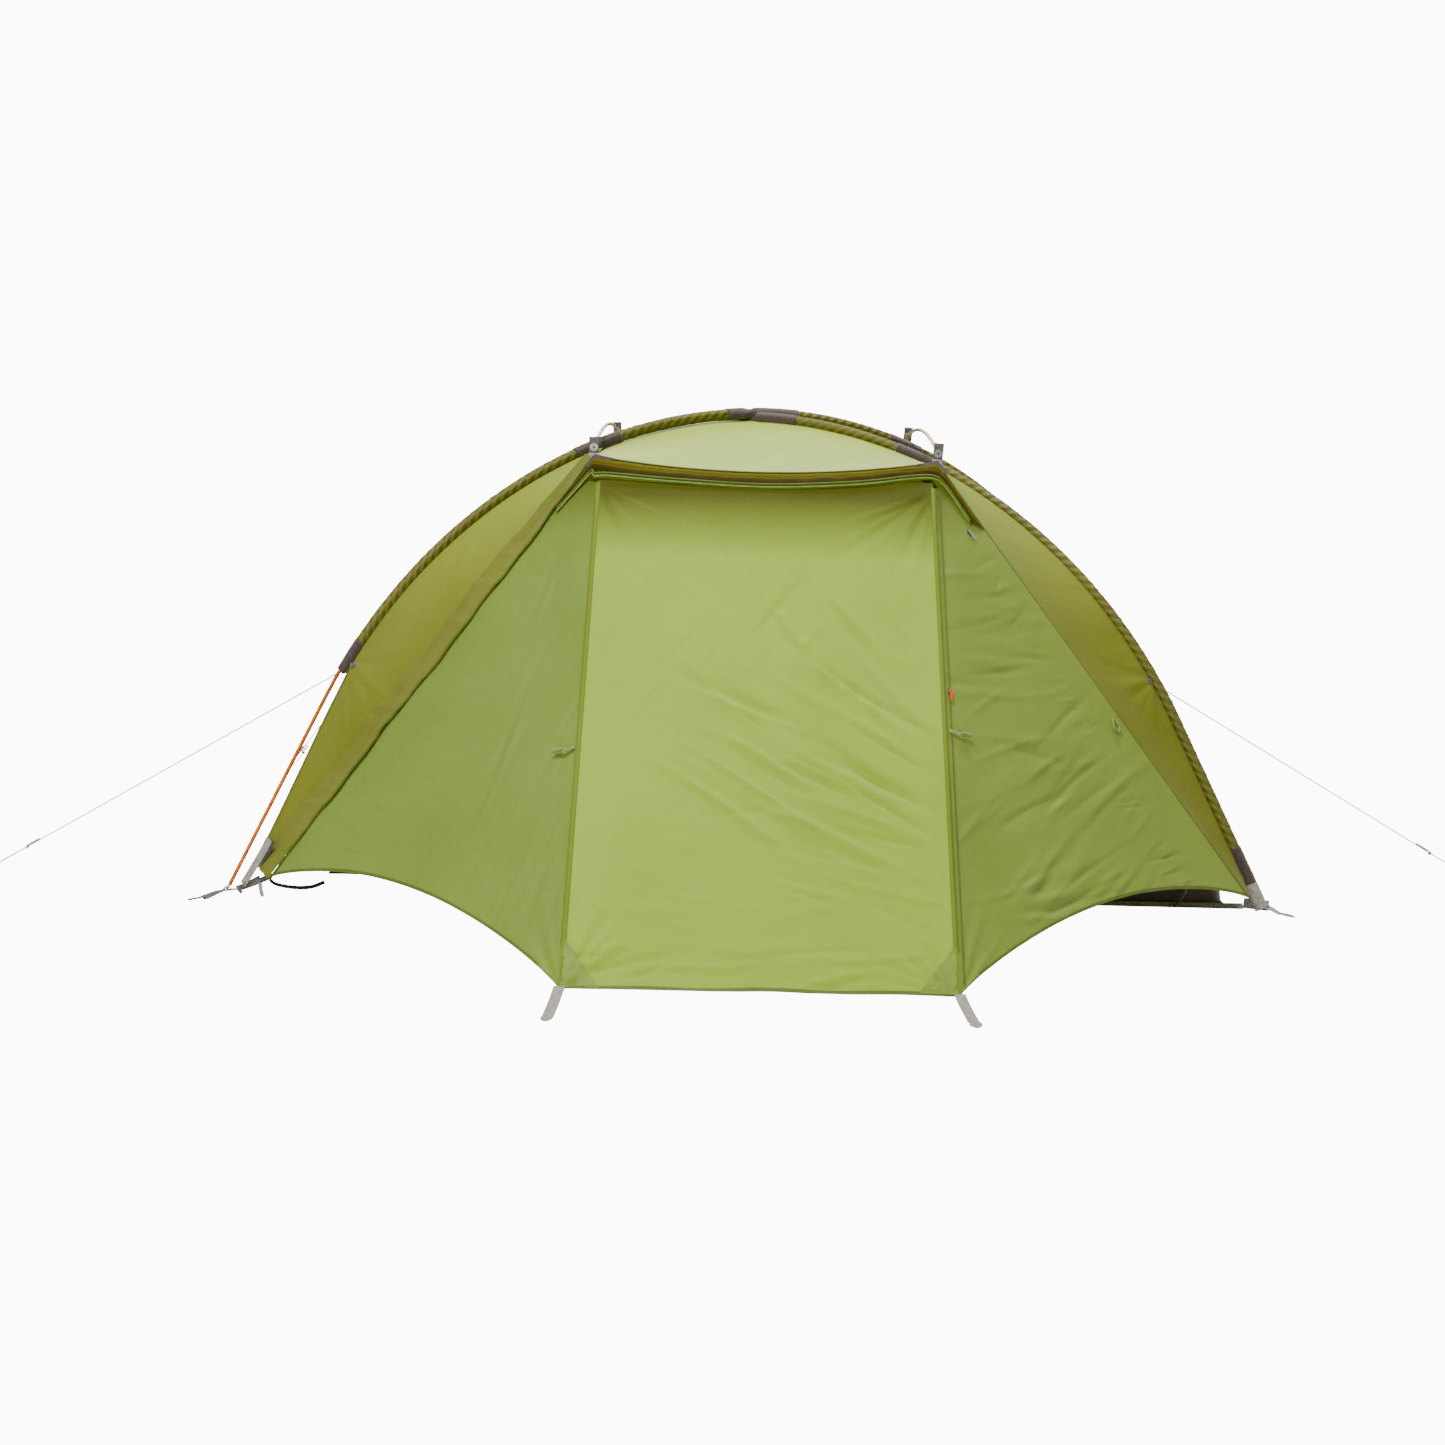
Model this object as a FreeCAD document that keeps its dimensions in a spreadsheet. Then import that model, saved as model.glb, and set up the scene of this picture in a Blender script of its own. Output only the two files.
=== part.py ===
"""Two-person dome tent: two long poles crossing at the crown, two short eave poles,
an outer fly with a staked porch at the front and the same at the rear, and an inner tent.

Frame: +X to the right seen from the front porch, +Y to the rear, +Z up, millimetres.
The origin is on the ground under the middle of the groundsheet.
"""
import FreeCAD, Part
import math
import os

from FreeCAD import Placement, Rotation, Vector

DOC = FreeCAD.newDocument("dome_tent")

DIMENSIONS = [
    ("crown_height", 1100, "centre of the long poles where they cross"),
    ("crown_x", -25, "the poles cross this far to the left of the porch's middle"),
    ("foot_reach_x", 1195, "from the crossing to a pole foot, along X"),
    ("foot_reach_y", 650, "from the crossing to a pole foot, along Y"),
    ("bow_sweep", 61.25, "degrees of arc on each side before the pole runs straight"),
    ("crossing_gap", 11, "between the two long poles' centres at the crossing"),
    ("pole_width", 9, "outside of a pole tube"),
    ("pole_bore", 6.6, "inside of a pole tube"),
    ("insert_width", 6.2, "outside of the insert that joins two sections"),
    ("insert_bore", 4.2, "inside of an insert"),
    ("insert_length", 90, "length of an insert"),
    ("section_length", 414, "one long pole section"),
    ("elastic_width", 2.8, "shock cord through the poles"),
    ("sleeve_width", 27, "outside of a pole sleeve"),
    ("sleeve_bore", 19, "room for the pole in a sleeve"),
    ("patch_width", 31, "outside of a brown wear patch round the sleeve"),
    ("fabric", 2, "closed solid that stands for a fabric panel"),
    ("webbing", 1.6, "thickness of a webbing strap"),
    ("webbing_width", 25, "stake loops and ground straps"),
    ("eave_x", 395, "eave poles, each side of the middle"),
    ("eave_tip_y", 520, "eave pole tips, each side of the crossing"),
    ("eave_tip_z", 1030, "height of the eave pole tips"),
    ("eave_rise", 34, "how far an eave pole's middle stands above its tips"),
    ("porch_y", 1450, "porch corners, each side of the crossing"),
    ("door_half_foot", 395, "half of the door panel's bottom edge"),
    ("door_half_head", 380, "half of the door panel's top edge"),
    ("door_head_y", 600, "top edge of the door panel"),
    ("door_head_z", 955, "top edge of the door panel"),
    ("hem_clear", 4, "lowest edge of the moving door fabric above the ground"),
    ("seam_gap", 5, "panel edge to hinge line"),
    ("wing_foot_x", 1122, "outer bottom corner of a porch wing"),
    ("wing_foot_y", 713, "outer bottom corner of a porch wing"),
    ("wing_foot_z", 44, "outer bottom corner of a porch wing"),
    ("floor_half_x", 1090, "half of the groundsheet's length"),
    ("floor_half_y", 590, "half of the groundsheet's width"),
    ("floor_wall", 110, "height of the groundsheet's upstand"),
    ("inner_gap", 70, "inner tent to the long poles"),
    ("cord_width", 3.0, "guyline"),
]

SHEET = DOC.addObject("Spreadsheet::Sheet", "Dimensions")
for row, (alias, value, note) in enumerate(DIMENSIONS, 1):
    SHEET.set(f"A{row}", note)
    SHEET.set(f"B{row}", str(value))
    SHEET.setAlias(f"B{row}", alias)
DOC.recompute()


def dim(alias):
    """A driving dimension, in millimetres or degrees."""
    return float(SHEET.get(alias))


FRONT, REAR = -1, 1
LEFT, RIGHT = -1, 1
UP = Vector(0, 0, 1)
NODES = {}

CROWN_X = dim("crown_x")
FOOT_REACH = math.hypot(dim("foot_reach_x"), dim("foot_reach_y"))
BOW = math.radians(dim("bow_sweep"))
FABRIC = dim("fabric")


# ---------------------------------------------------------------- document helpers

def node(label, obj):
    """Keep an object as a named sub-part."""
    obj.Label = label
    NODES[label] = obj
    return obj


def feature(name, shape):
    """A shape made with Part's own functions, as a document object."""
    obj = DOC.addObject("Part::Feature", name)
    obj.Shape = shape
    return obj


def bind(obj, **expressions):
    """Bind an object's properties to the sheet."""
    for prop, expression in expressions.items():
        obj.setExpression(prop, expression)
    return obj


def group(name, objects):
    """Several separate solids in one sub-part."""
    obj = DOC.addObject("Part::Compound", name)
    obj.Links = objects
    return obj


def mirrored(name, source):
    """The rear copy of something at the front."""
    obj = DOC.addObject("Part::Mirroring", name)
    obj.Source = source
    obj.Base = Vector(0, 0, 0)
    obj.Normal = Vector(0, 1, 0)
    return obj


def front_and_rear(stem, front):
    """Two sub-parts, one at each side of the crossing."""
    node(f"{stem}_front", front)
    node(f"{stem}_rear", mirrored(f"{stem}_rear", front))


def both(name, fronts):
    """One sub-part: the front pieces and their rear copies."""
    rears = [mirrored(f"{front.Name}_rear", front) for front in fronts]
    return node(name, group(name, fronts + rears))


def placed(name, base, places):
    """Copies of one base piece, at several placements."""
    copies = []
    for number, place in enumerate(places, 1):
        copy = base.Shape.copy()
        copy.Placement = place.multiply(copy.Placement)
        copies.append(feature(f"{name}_{number}", copy))
    return copies


def sweep(name, path, width_alias):
    """A round bar of a sheet width along a path that starts at its first point."""
    spine = feature(f"{name}_path", path)
    first = path.OrderedEdges[0]
    start = first.valueAt(first.FirstParameter)
    tangent = first.tangentAt(first.FirstParameter)
    if first.Orientation == "Reversed":
        start = first.valueAt(first.LastParameter)
        tangent = first.tangentAt(first.LastParameter) * -1
    ring = DOC.addObject("Part::Circle", f"{name}_ring")
    bind(ring, Radius=f"{SHEET.Name}.{width_alias} / 2")
    ring.Placement = Placement(start, Rotation(UP, tangent))
    bar = DOC.addObject("Part::Sweep", f"{name}_bar")
    bar.Sections = [ring]
    bar.Spine = (spine, [f"Edge{i + 1}" for i in range(len(path.Edges))])
    bar.Solid = True
    bar.Frenet = False
    return bar


def tube(name, path, outer_alias, bore_alias):
    """A tube along a path: an outer bar less an inner bar."""
    cut = DOC.addObject("Part::Cut", name)
    cut.Base = sweep(f"{name}_outer", path, outer_alias)
    cut.Tool = sweep(f"{name}_inner", path, bore_alias)
    return cut


def cylinder(name, width_alias, length, place):
    """A round bar of a sheet width, centred on its placement."""
    bar = DOC.addObject("Part::Cylinder", name)
    bind(bar, Radius=f"{SHEET.Name}.{width_alias} / 2")
    bar.Height = length
    bar.Placement = place.multiply(Placement(Vector(0, 0, -length / 2), Rotation()))
    return bar


def block(name, length, width, height, place):
    """A box centred on its placement."""
    box = DOC.addObject("Part::Box", name)
    box.Length, box.Width, box.Height = length, width, height
    box.Placement = place.multiply(Placement(Vector(-length / 2, -width / 2, -height / 2), Rotation()))
    return box


# ---------------------------------------------------------------- fabric helpers

def panel(name, points, outward, thick_alias="fabric"):
    """A flat panel: its outline padded outward by a sheet thickness."""
    outline = feature(f"{name}_outline", Part.makePolygon(points + [points[0]]))
    pad = DOC.addObject("Part::Extrusion", name)
    pad.Base = outline
    pad.DirMode = "Custom"
    pad.Dir = outward
    pad.Solid = True
    bind(pad, LengthFwd=f"{SHEET.Name}.{thick_alias}")
    return pad


def unit(vector):
    return Vector(vector).normalize()


def plane_normal(first, second, third, towards):
    """Unit normal of three points, on the side of a direction."""
    normal = unit((second - first).cross(third - first))
    return normal if normal.dot(towards) > 0 else normal * -1


def strip(near, far, towards, thickness):
    """A closed solid between two rails of as many points, thickened to one side."""
    sections = []
    last = len(near) - 1
    for i, (low, high) in enumerate(zip(near, far)):
        before, after = max(i - 1, 0), min(i + 1, last)
        along = (near[after] + far[after]) - (near[before] + far[before])
        side = unit(along.cross(high - low))
        if side.dot(towards) < 0:
            side = side * -1
        rise = side * thickness
        sections.append(Part.makePolygon([low, high, high + rise, low + rise, low]))
    return Part.makeLoft(sections, True, True)


def strap(name, points, across, width, thickness):
    """A flat strap through points, lying flat across one direction."""
    half = unit(across) * (width / 2)
    near = [Vector(p) - half for p in points]
    far = [Vector(p) + half for p in points]
    return feature(name, strip(near, far, UP, thickness))


def between(start, end, count):
    """Evenly spaced points from one point to another."""
    return [start + (end - start) * (i / (count - 1)) for i in range(count)]


def sagging(start, end, sag, count):
    """Points along a line that dips by a sag in the middle."""
    points = between(start, end, count)
    return [p + sag * (4 * i * (count - 1 - i) / (count - 1) ** 2) for i, p in enumerate(points)]


# ---------------------------------------------------------------- the poles' bow

class Bow:
    """Half of a long pole in its upright plane: an arc from the crown, then a straight leg."""

    def __init__(self, crown, foot_z):
        drop = crown - foot_z
        tall = 1 - math.cos(BOW)
        self.radius = (FOOT_REACH * math.sin(BOW) - drop * math.cos(BOW)) / (
            math.sin(BOW) ** 2 - tall * math.cos(BOW))
        self.leg = (drop - self.radius * tall) / math.sin(BOW)
        self.crown = crown
        self.arc = self.radius * BOW
        self.length = self.arc + self.leg

    def at(self, distance, inset=0.0):
        """Reach and height at a distance along the bow, moved inward by an inset."""
        turn = min(distance, self.arc) / self.radius
        run = max(distance - self.arc, 0.0)
        radius = self.radius - inset
        reach = radius * math.sin(turn) + run * math.cos(turn)
        height = self.crown - self.radius + radius * math.cos(turn) - run * math.sin(turn)
        return reach, height

    def at_reach(self, share, inset=0.0):
        """Distance along the bow at a share of the foot's reach."""
        low, high = 0.0, self.length
        for _ in range(60):
            middle = (low + high) / 2
            if self.at(middle, inset)[0] < share * FOOT_REACH:
                low = middle
            else:
                high = middle
        return low


FOOT_Z = 12.0
UPPER = Bow(dim("crown_height") + dim("crossing_gap") / 2, FOOT_Z)
LOWER = Bow(dim("crown_height") - dim("crossing_gap") / 2, FOOT_Z)
MIDDLE = Bow(dim("crown_height"), FOOT_Z)


def on_bow(bow, side, depth, distance, inset=0.0):
    """Point of a long pole's half: side -1 left, +1 right; depth -1 front, +1 rear."""
    reach, height = bow.at(distance, inset)
    share = reach / FOOT_REACH
    x = CROWN_X + side * share * dim("foot_reach_x")
    return Vector(x, depth * share * dim("foot_reach_y"), height)


def bow_path(bow, side, depth, start, end):
    """The pole's line from one distance to another on one half."""
    edges = []
    if start < bow.arc:
        stop = min(end, bow.arc)
        points = [on_bow(bow, side, depth, d) for d in (start, (start + stop) / 2, stop)]
        edges.append(Part.Arc(*points).toShape())
    if end > bow.arc:
        begin = max(start, bow.arc)
        first, last = (on_bow(bow, side, depth, d) for d in (begin, end))
        edges.append(Part.LineSegment(first, last).toShape())
    return Part.Wire(edges)


def whole_path(bow, depth):
    """A long pole from its left foot (at a depth) over the crown to its right foot."""
    left, right = (LEFT, depth), (RIGHT, -depth)
    leg_top = bow.arc
    edges = [
        Part.LineSegment(on_bow(bow, *left, bow.length), on_bow(bow, *left, leg_top)).toShape(),
        Part.Arc(on_bow(bow, *left, leg_top), on_bow(bow, *left, 0), on_bow(bow, *right, leg_top)).toShape(),
        Part.LineSegment(on_bow(bow, *right, leg_top), on_bow(bow, *right, bow.length)).toShape(),
    ]
    return Part.Wire(edges)


def along_bow(bow, side, depth, distance):
    """Placement whose Z runs along the pole at a distance."""
    here = on_bow(bow, side, depth, distance)
    ahead = on_bow(bow, side, depth, min(distance + 1, bow.length))
    behind = on_bow(bow, side, depth, max(distance - 1, 0))
    return Placement(here, Rotation(UP, ahead - behind))


LONG_POLES = {"long_pole_a": (UPPER, FRONT), "long_pole_b": (LOWER, REAR)}


def bow_of(side, depth):
    """Which pole's half lies at a corner: pole a runs front left to rear right."""
    return UPPER if side * depth > 0 else LOWER


def make_long_poles():
    for name, (bow, depth) in LONG_POLES.items():
        node(name, tube(name, whole_path(bow, depth), "pole_width", "pole_bore"))


# ---------------------------------------------------------------- eave poles

def eave_radius():
    tip, rise = dim("eave_tip_y"), dim("eave_rise")
    return (tip * tip + rise * rise) / (2 * rise)


def eave_height(y):
    """Height of an eave pole's centre at a place along Y."""
    radius = eave_radius()
    return dim("eave_tip_z") + dim("eave_rise") - radius + math.sqrt(radius * radius - y * y)


def eave_path(side, reach):
    x = side * dim("eave_x")
    points = [Vector(x, y, eave_height(y)) for y in (-reach, 0, reach)]
    return Part.Wire([Part.Arc(*points).toShape()])


EAVE_POLE_REACH = 505.0


def make_eave_poles():
    poles = [tube(f"eave_pole_{i}", eave_path(side, EAVE_POLE_REACH), "pole_width", "pole_bore")
             for i, side in enumerate((LEFT, RIGHT), 1)]
    node("eave_poles", group("eave_poles", poles))


def make_inserts():
    """Tubes inside the pole sections' joints."""
    pieces = []
    for name, (bow, depth) in LONG_POLES.items():
        joint = dim("section_length") / 2
        while joint < bow.length - dim("insert_length"):
            for side, face in ((LEFT, depth), (RIGHT, -depth)):
                pieces.append(insert_at(along_bow(bow, side, face, joint)))
            joint += dim("section_length")
    for side in (LEFT, RIGHT):
        middle = Vector(side * dim("eave_x"), 0, eave_height(0))
        pieces.append(insert_at(Placement(middle, Rotation(UP, Vector(0, 1, 0)))))
    node("pole_inserts", group("pole_inserts", pieces))


def insert_at(place):
    length = dim("insert_length")
    cut = DOC.addObject("Part::Cut", "insert")
    cut.Base = cylinder("insert_outer", "insert_width", length, place)
    cut.Tool = cylinder("insert_inner", "insert_bore", length + 2, place)
    return cut


def make_shock_cords():
    cords = [sweep(f"elastic_{name}", whole_path(bow, depth), "elastic_width")
             for name, (bow, depth) in LONG_POLES.items()]
    cords += [sweep(f"elastic_eave_{i}", eave_path(side, EAVE_POLE_REACH), "elastic_width")
              for i, side in enumerate((LEFT, RIGHT), 1)]
    node("shock_cords", group("shock_cords", cords))


def turned(name, profile):
    """A PartDesign body turned about its own Z from (radius, height) corners."""
    body = DOC.addObject("PartDesign::Body", name)
    planes = {f.Role: f for f in body.Origin.OriginFeatures}
    sketch = body.newObject("Sketcher::SketchObject", f"{name}_profile")
    sketch.AttachmentSupport = [(planes["XZ_Plane"], "")]
    sketch.MapMode = "FlatFace"
    corners = [Vector(radius, height, 0) for radius, height in profile]
    for start, end in zip(corners, corners[1:] + corners[:1]):
        sketch.addGeometry(Part.LineSegment(start, end), False)
    turn = body.newObject("PartDesign::Revolution", f"{name}_turn")
    turn.Profile = sketch
    turn.ReferenceAxis = (sketch, ["V_Axis"])
    turn.Angle = 360
    body.Tip = turn
    DOC.recompute()
    return body


def cut_out(name, outline, thickness, hole=None, thick_alias=None):
    """A PartDesign body: a flat outline padded along Z, with a hole through it if given."""
    body = DOC.addObject("PartDesign::Body", name)
    planes = {f.Role: f for f in body.Origin.OriginFeatures}
    sketch = body.newObject("Sketcher::SketchObject", f"{name}_outline")
    sketch.AttachmentSupport = [(planes["XY_Plane"], "")]
    sketch.MapMode = "FlatFace"
    for loop in [outline] + ([hole] if hole else []):
        corners = [Vector(x, y, 0) for x, y in loop]
        for start, end in zip(corners, corners[1:] + corners[:1]):
            sketch.addGeometry(Part.LineSegment(start, end), False)
    pad = body.newObject("PartDesign::Pad", f"{name}_pad")
    pad.Profile = sketch
    pad.Length = thickness
    if thick_alias:
        bind(pad, Length=f"{SHEET.Name}.{thick_alias}")
    body.Tip = pad
    DOC.recompute()
    return body


def make_pole_tips():
    """Turned plugs: a shoulder against the tube and a point that sits in the eyelet."""
    shoulder, point = dim("pole_width") / 2, 2.5
    section = [(0, 0.5), (shoulder, 0.5), (shoulder, 7), (point, 10), (point, 15), (1.5, 17), (0, 17)]
    tip = turned("pole_tip", section)
    places = []
    for bow, depth in LONG_POLES.values():
        places.append(along_bow(bow, LEFT, depth, bow.length))
        places.append(along_bow(bow, RIGHT, -depth, bow.length))
    feet = []
    for place in places:
        lean = place.Rotation.multVec(UP)
        feet.append(Placement(place.Base, Rotation(UP, Vector(lean.x, lean.y, lean.z * 0.25))))
    for side in (LEFT, RIGHT):
        for face in (FRONT, REAR):
            end = Vector(side * dim("eave_x"), face * EAVE_POLE_REACH, eave_height(EAVE_POLE_REACH))
            slope = Vector(0, face, -EAVE_POLE_REACH / eave_radius())
            feet.append(Placement(end, Rotation(UP, slope)))
    node("pole_tips", group("pole_tips", placed("pole_tips", tip, feet)))


# ---------------------------------------------------------------- sleeves and wear patches

SLEEVE_FROM = 75.0
BARE_SHARE = 0.80
RIGHT_SLEEVE_SHARE = 0.947
CROSS_PATCH = {LEFT: (-48, 79), RIGHT: (-85, 15)}
END_PATCH = {LEFT: (-76, -2), RIGHT: (2, 84)}


def sleeve_end(bow, side):
    return bow.at_reach(BARE_SHARE if side == LEFT else RIGHT_SLEEVE_SHARE)


def eave_crossing(bow, side):
    """Distance along the bow where the eave pole passes over it."""
    share = (side * dim("eave_x") - CROWN_X) * side / dim("foot_reach_x")
    return bow.at_reach(share)


def make_sleeves():
    for name, (bow, depth) in LONG_POLES.items():
        halves = []
        for side, face in ((LEFT, depth), (RIGHT, -depth)):
            path = bow_path(bow, side, face, SLEEVE_FROM, sleeve_end(bow, side))
            halves.append(tube(f"sleeve_{name}_{side + 2}", path, "sleeve_width", "sleeve_bore"))
        node(f"sleeve_{name[-1]}", group(f"sleeve_{name[-1]}", halves))


def make_patches():
    """Brown wear patches where a pole crosses or leaves a sleeve."""
    pieces = []
    for bow, depth in LONG_POLES.values():
        for side, face in ((LEFT, depth), (RIGHT, -depth)):
            end = sleeve_end(bow, side)
            places = [(eave_crossing(bow, side), CROSS_PATCH[side]), (end, END_PATCH[side])]
            for number, (here, (before, after)) in enumerate(places, 1):
                start, stop = here + before, here + after
                path = bow_path(bow, side, face, start, stop)
                bore = "sleeve_width" if stop < end else "sleeve_bore"
                pieces.append(tube(f"patch_{side + 2}{face + 2}{number}", path, "patch_width", bore))
    node("sleeve_patches", group("sleeve_patches", pieces))


def make_crown_patch():
    """The patch over the crossing: a shallow cap with four short sleeve mouths."""
    length, wide, tall, wall = 136.0, 32.0, 30.0, 3.0
    fuse = DOC.addObject("Part::MultiFuse", "crown_outer")
    hollow = DOC.addObject("Part::MultiFuse", "crown_hollow")
    outers, inners = [], []
    for depth in (FRONT, REAR):
        along = Vector(dim("foot_reach_x"), -depth * dim("foot_reach_y"), 0)
        centre = Vector(CROWN_X, 0, dim("crown_height") - 1)
        place = Placement(centre, Rotation(Vector(1, 0, 0), along))
        outers.append(block(f"crown_bar_{depth + 2}", length, wide, tall, place))
        inners.append(block(f"crown_way_{depth + 2}", length + 2, wide - 2 * wall, tall - 2 * wall, place))
    fuse.Shapes = outers
    hollow.Shapes = inners
    cap = DOC.addObject("Part::Cut", "crown_patch")
    cap.Base, cap.Tool = fuse, hollow
    node("crown_patch", cap)


# ---------------------------------------------------------------- fly

SEAM_INSET = 24.0
BAYS = 12


def seam_points(side, depth, start, end, count, inset=SEAM_INSET):
    """Points of the fly's seam, just under a long pole."""
    step = (end - start) / (count - 1)
    return [on_bow(MIDDLE, side, depth, start + i * step, inset) for i in range(count)]


EAVE_AT = eave_crossing(MIDDLE, RIGHT)
FLY_FOOT = MIDDLE.at_reach(0.97)


def head_corner(side, depth=FRONT):
    """Upper outer corner of the porch, under the eave tab."""
    return Vector(side * (dim("eave_x") - 3), depth * 545, 1010)


def wing_corner(side, depth=FRONT):
    """Lower outer corner of the porch wings."""
    return Vector(side * dim("wing_foot_x"), depth * dim("wing_foot_y"), dim("wing_foot_z"))


def roof_edge(count):
    """The roof's front edge between the eave tabs, which dips in the middle."""
    return sagging(head_corner(LEFT), head_corner(RIGHT), Vector(0, -6, -30), count)


def make_roof():
    """From the crown out to the eave: two seams behind, the dipping edge in front."""
    count = 9
    half = count // 2
    left = seam_points(LEFT, FRONT, SLEEVE_FROM, EAVE_AT, half + 1)
    right = seam_points(RIGHT, FRONT, SLEEVE_FROM, EAVE_AT, half + 1)
    crown = (left[0] + right[0]) / 2
    back = list(reversed(left[1:])) + [crown] + right[1:]
    front_and_rear("roof", feature("roof_front", strip(roof_edge(count), back, UP, FABRIC)))


def make_canopies():
    """The side panels between each long pole and the porch's sloping seam."""
    for side, word in ((LEFT, "left"), (RIGHT, "right")):
        foot_reach = MIDDLE.at_reach(0.975)
        seam = seam_points(side, FRONT, EAVE_AT + 6, foot_reach, BAYS)
        if side == LEFT:
            seam = [p + Vector(8, 0, 0) * max(0.0, i - BAYS * 0.6) for i, p in enumerate(seam)]
        edge = between(head_corner(side), wing_corner(side) + Vector(side * 14, 6, 0), BAYS)
        outward = Vector(side * 0.4, -1, 0.6)
        shape = strip(edge, seam, outward, FABRIC)
        front_and_rear(f"canopy_{word}", feature(f"canopy_{word}_front", shape))


def make_ends():
    """The two end panels, each between a front and a rear seam."""
    for side, word in ((LEFT, "left"), (RIGHT, "right")):
        start, end = 20.0, MIDDLE.at_reach(0.975)
        front = seam_points(side, FRONT, start, end, BAYS + 4)
        rear = seam_points(side, REAR, start, end, BAYS + 4)
        if side == LEFT:
            shift = [Vector(6, 0, 0) * max(0.0, i - BAYS * 0.8) for i in range(BAYS + 4)]
            front = [p + s for p, s in zip(front, shift)]
            rear = [p + s for p, s in zip(rear, shift)]
        gap = Vector(0, 6, 0)
        front = [p + gap * (1 if i else 0.5) for i, p in enumerate(front)]
        rear = [p - gap * (1 if i else 0.5) for i, p in enumerate(rear)]
        shape = strip(front, rear, Vector(side * 0.6, 0, 1), FABRIC)
        node(f"end_{word}", feature(f"end_{word}", shape))


# ---------------------------------------------------------------- porch

def door_corner(side, low):
    """Corners of the door panel's seams, on the porch's front plane."""
    if low:
        return Vector(side * dim("door_half_foot"), -dim("porch_y"), dim("hem_clear") - 2)
    return Vector(side * dim("door_half_head"), -dim("door_head_y"), dim("door_head_z"))


DOOR_OUT = plane_normal(door_corner(LEFT, True), door_corner(RIGHT, True),
                        door_corner(RIGHT, False), Vector(0, -1, 1))


def wing_out(side):
    low, high = door_corner(side, True), door_corner(side, False)
    return plane_normal(low, high, wing_corner(side), Vector(side, -1, 1))


HEM_RISE = 108.0


def hem_arch(side):
    """The wing's bottom edge, an arch that clears the ground between its pegs."""
    start = door_corner(side, True)
    end = wing_corner(side)
    rise = unit(door_corner(side, False) - start)
    count = 13
    points = between(start, end, count)
    return [p + rise * (HEM_RISE * math.sin(math.pi * i / (count - 1)) ** 0.75) for i, p in enumerate(points)]


def wing_outline(side, gap_at_seam, gap_at_top):
    """A wing's outline, kept clear of the door seam and the sloping zip."""
    head = door_corner(side, False)
    foot = door_corner(side, True)
    corner = wing_corner(side)
    along = unit(corner - foot)
    slope = unit(corner - head)
    down = unit(foot - head)
    inward = unit(down - slope * down.dot(slope))
    arch = hem_arch(side)
    arch = [foot + along * gap_at_seam - down * 4] + arch[1:-1]
    top = head + along * gap_at_seam + down * (gap_at_top + gap_at_seam) * 1.5
    outer = corner + inward * gap_at_top - slope * 4
    return [top] + arch + [outer]


def make_door():
    gap = dim("seam_gap")
    points = [door_corner(LEFT, False) + Vector(gap, 0, 0), door_corner(LEFT, True) + Vector(gap, 0, 3),
              door_corner(RIGHT, True) + Vector(-gap, 0, 3), door_corner(RIGHT, False) + Vector(-gap, 0, 0)]
    points = [on_plane(p, DOOR_OUT) for p in points]
    front_and_rear("door", panel("door_front", points, DOOR_OUT))


def on_plane(point, normal):
    """Drop a point on to the door plane."""
    return point - normal * (point - door_corner(RIGHT, True)).dot(normal)


def make_wings():
    for side, stem, top_gap in ((LEFT, "left_wing", 16), (RIGHT, "right_wing", 6)):
        points = wing_outline(side, dim("seam_gap"), top_gap)
        front_and_rear(stem, panel(f"{stem}_front", points, wing_out(side)))


def make_hoods():
    """The rain hood that hangs from the roof's edge over the top zip."""
    count = 9
    top = [p + Vector(0, -4, -1) for p in roof_edge(count)]
    low = sagging(Vector(-372, -577, 985), Vector(368, -577, 985), Vector(0, -5, -8), count)
    front_and_rear("hood", feature("hood_front", strip(low, top, Vector(0, -1, 0.4), FABRIC)))


STORM_WIDTH = 52.0


def make_storm_flaps():
    """The flap over the sloping zip, sewn to the left canopy."""
    out = wing_out(LEFT)
    head = head_corner(LEFT) + Vector(-4, -8, -22)
    foot = wing_corner(LEFT) + Vector(-6, -10, 4)
    down = unit(foot - head)
    across = unit(out.cross(down))
    if across.x > 0:
        across = across * -1
    count = 8
    free = [p + out * 11 for p in between(head, foot, count)]
    sewn = [p + across * (STORM_WIDTH * (0.55 + 0.45 * min(1, i / 3))) for i, p in enumerate(free)]
    front_and_rear("storm_flap", feature("storm_flap_front", strip(free, sewn, out, FABRIC)))


def make_zips():
    """Tapes and teeth: along the door's head, down the left slope and down the right seam."""
    pieces = []
    count = 7
    upward = unit(door_corner(RIGHT, False) - door_corner(RIGHT, True))
    low = [p + upward * 2 for p in between(door_corner(LEFT, False), door_corner(RIGHT, False), count)]
    high = [p + upward * 16 for p in low]
    pieces.append(feature("zip_head", strip(low, high, DOOR_OUT, FABRIC)))
    out = wing_out(LEFT)
    head, corner = door_corner(LEFT, False), wing_corner(LEFT)
    slope = unit(corner - head)
    upper = unit(out.cross(slope))
    if upper.z < 0:
        upper = upper * -1
    near = [p - upper * 13 for p in between(head + slope * 12, corner - slope * 8, count)]
    far = [p + upper * 12 for p in near]
    pieces.append(feature("zip_slope", strip(near, far, out, FABRIC)))
    seam = between(door_corner(RIGHT, False), door_corner(RIGHT, True), count)
    out = wing_out(RIGHT)
    aside = unit(wing_corner(RIGHT) - door_corner(RIGHT, True))
    off = FABRIC + 0.1
    start = [p + aside * 9 + out * off for p in seam]
    start[-1] = start[-1] + upward * 30
    stop = [p + aside * 12 for p in start]
    pieces.append(feature("zip_side", strip(start, stop, out, 1.4)))
    front_and_rear("zip", group("zip_front_tapes", pieces))


# ---------------------------------------------------------------- zip sliders and pulls

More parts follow.
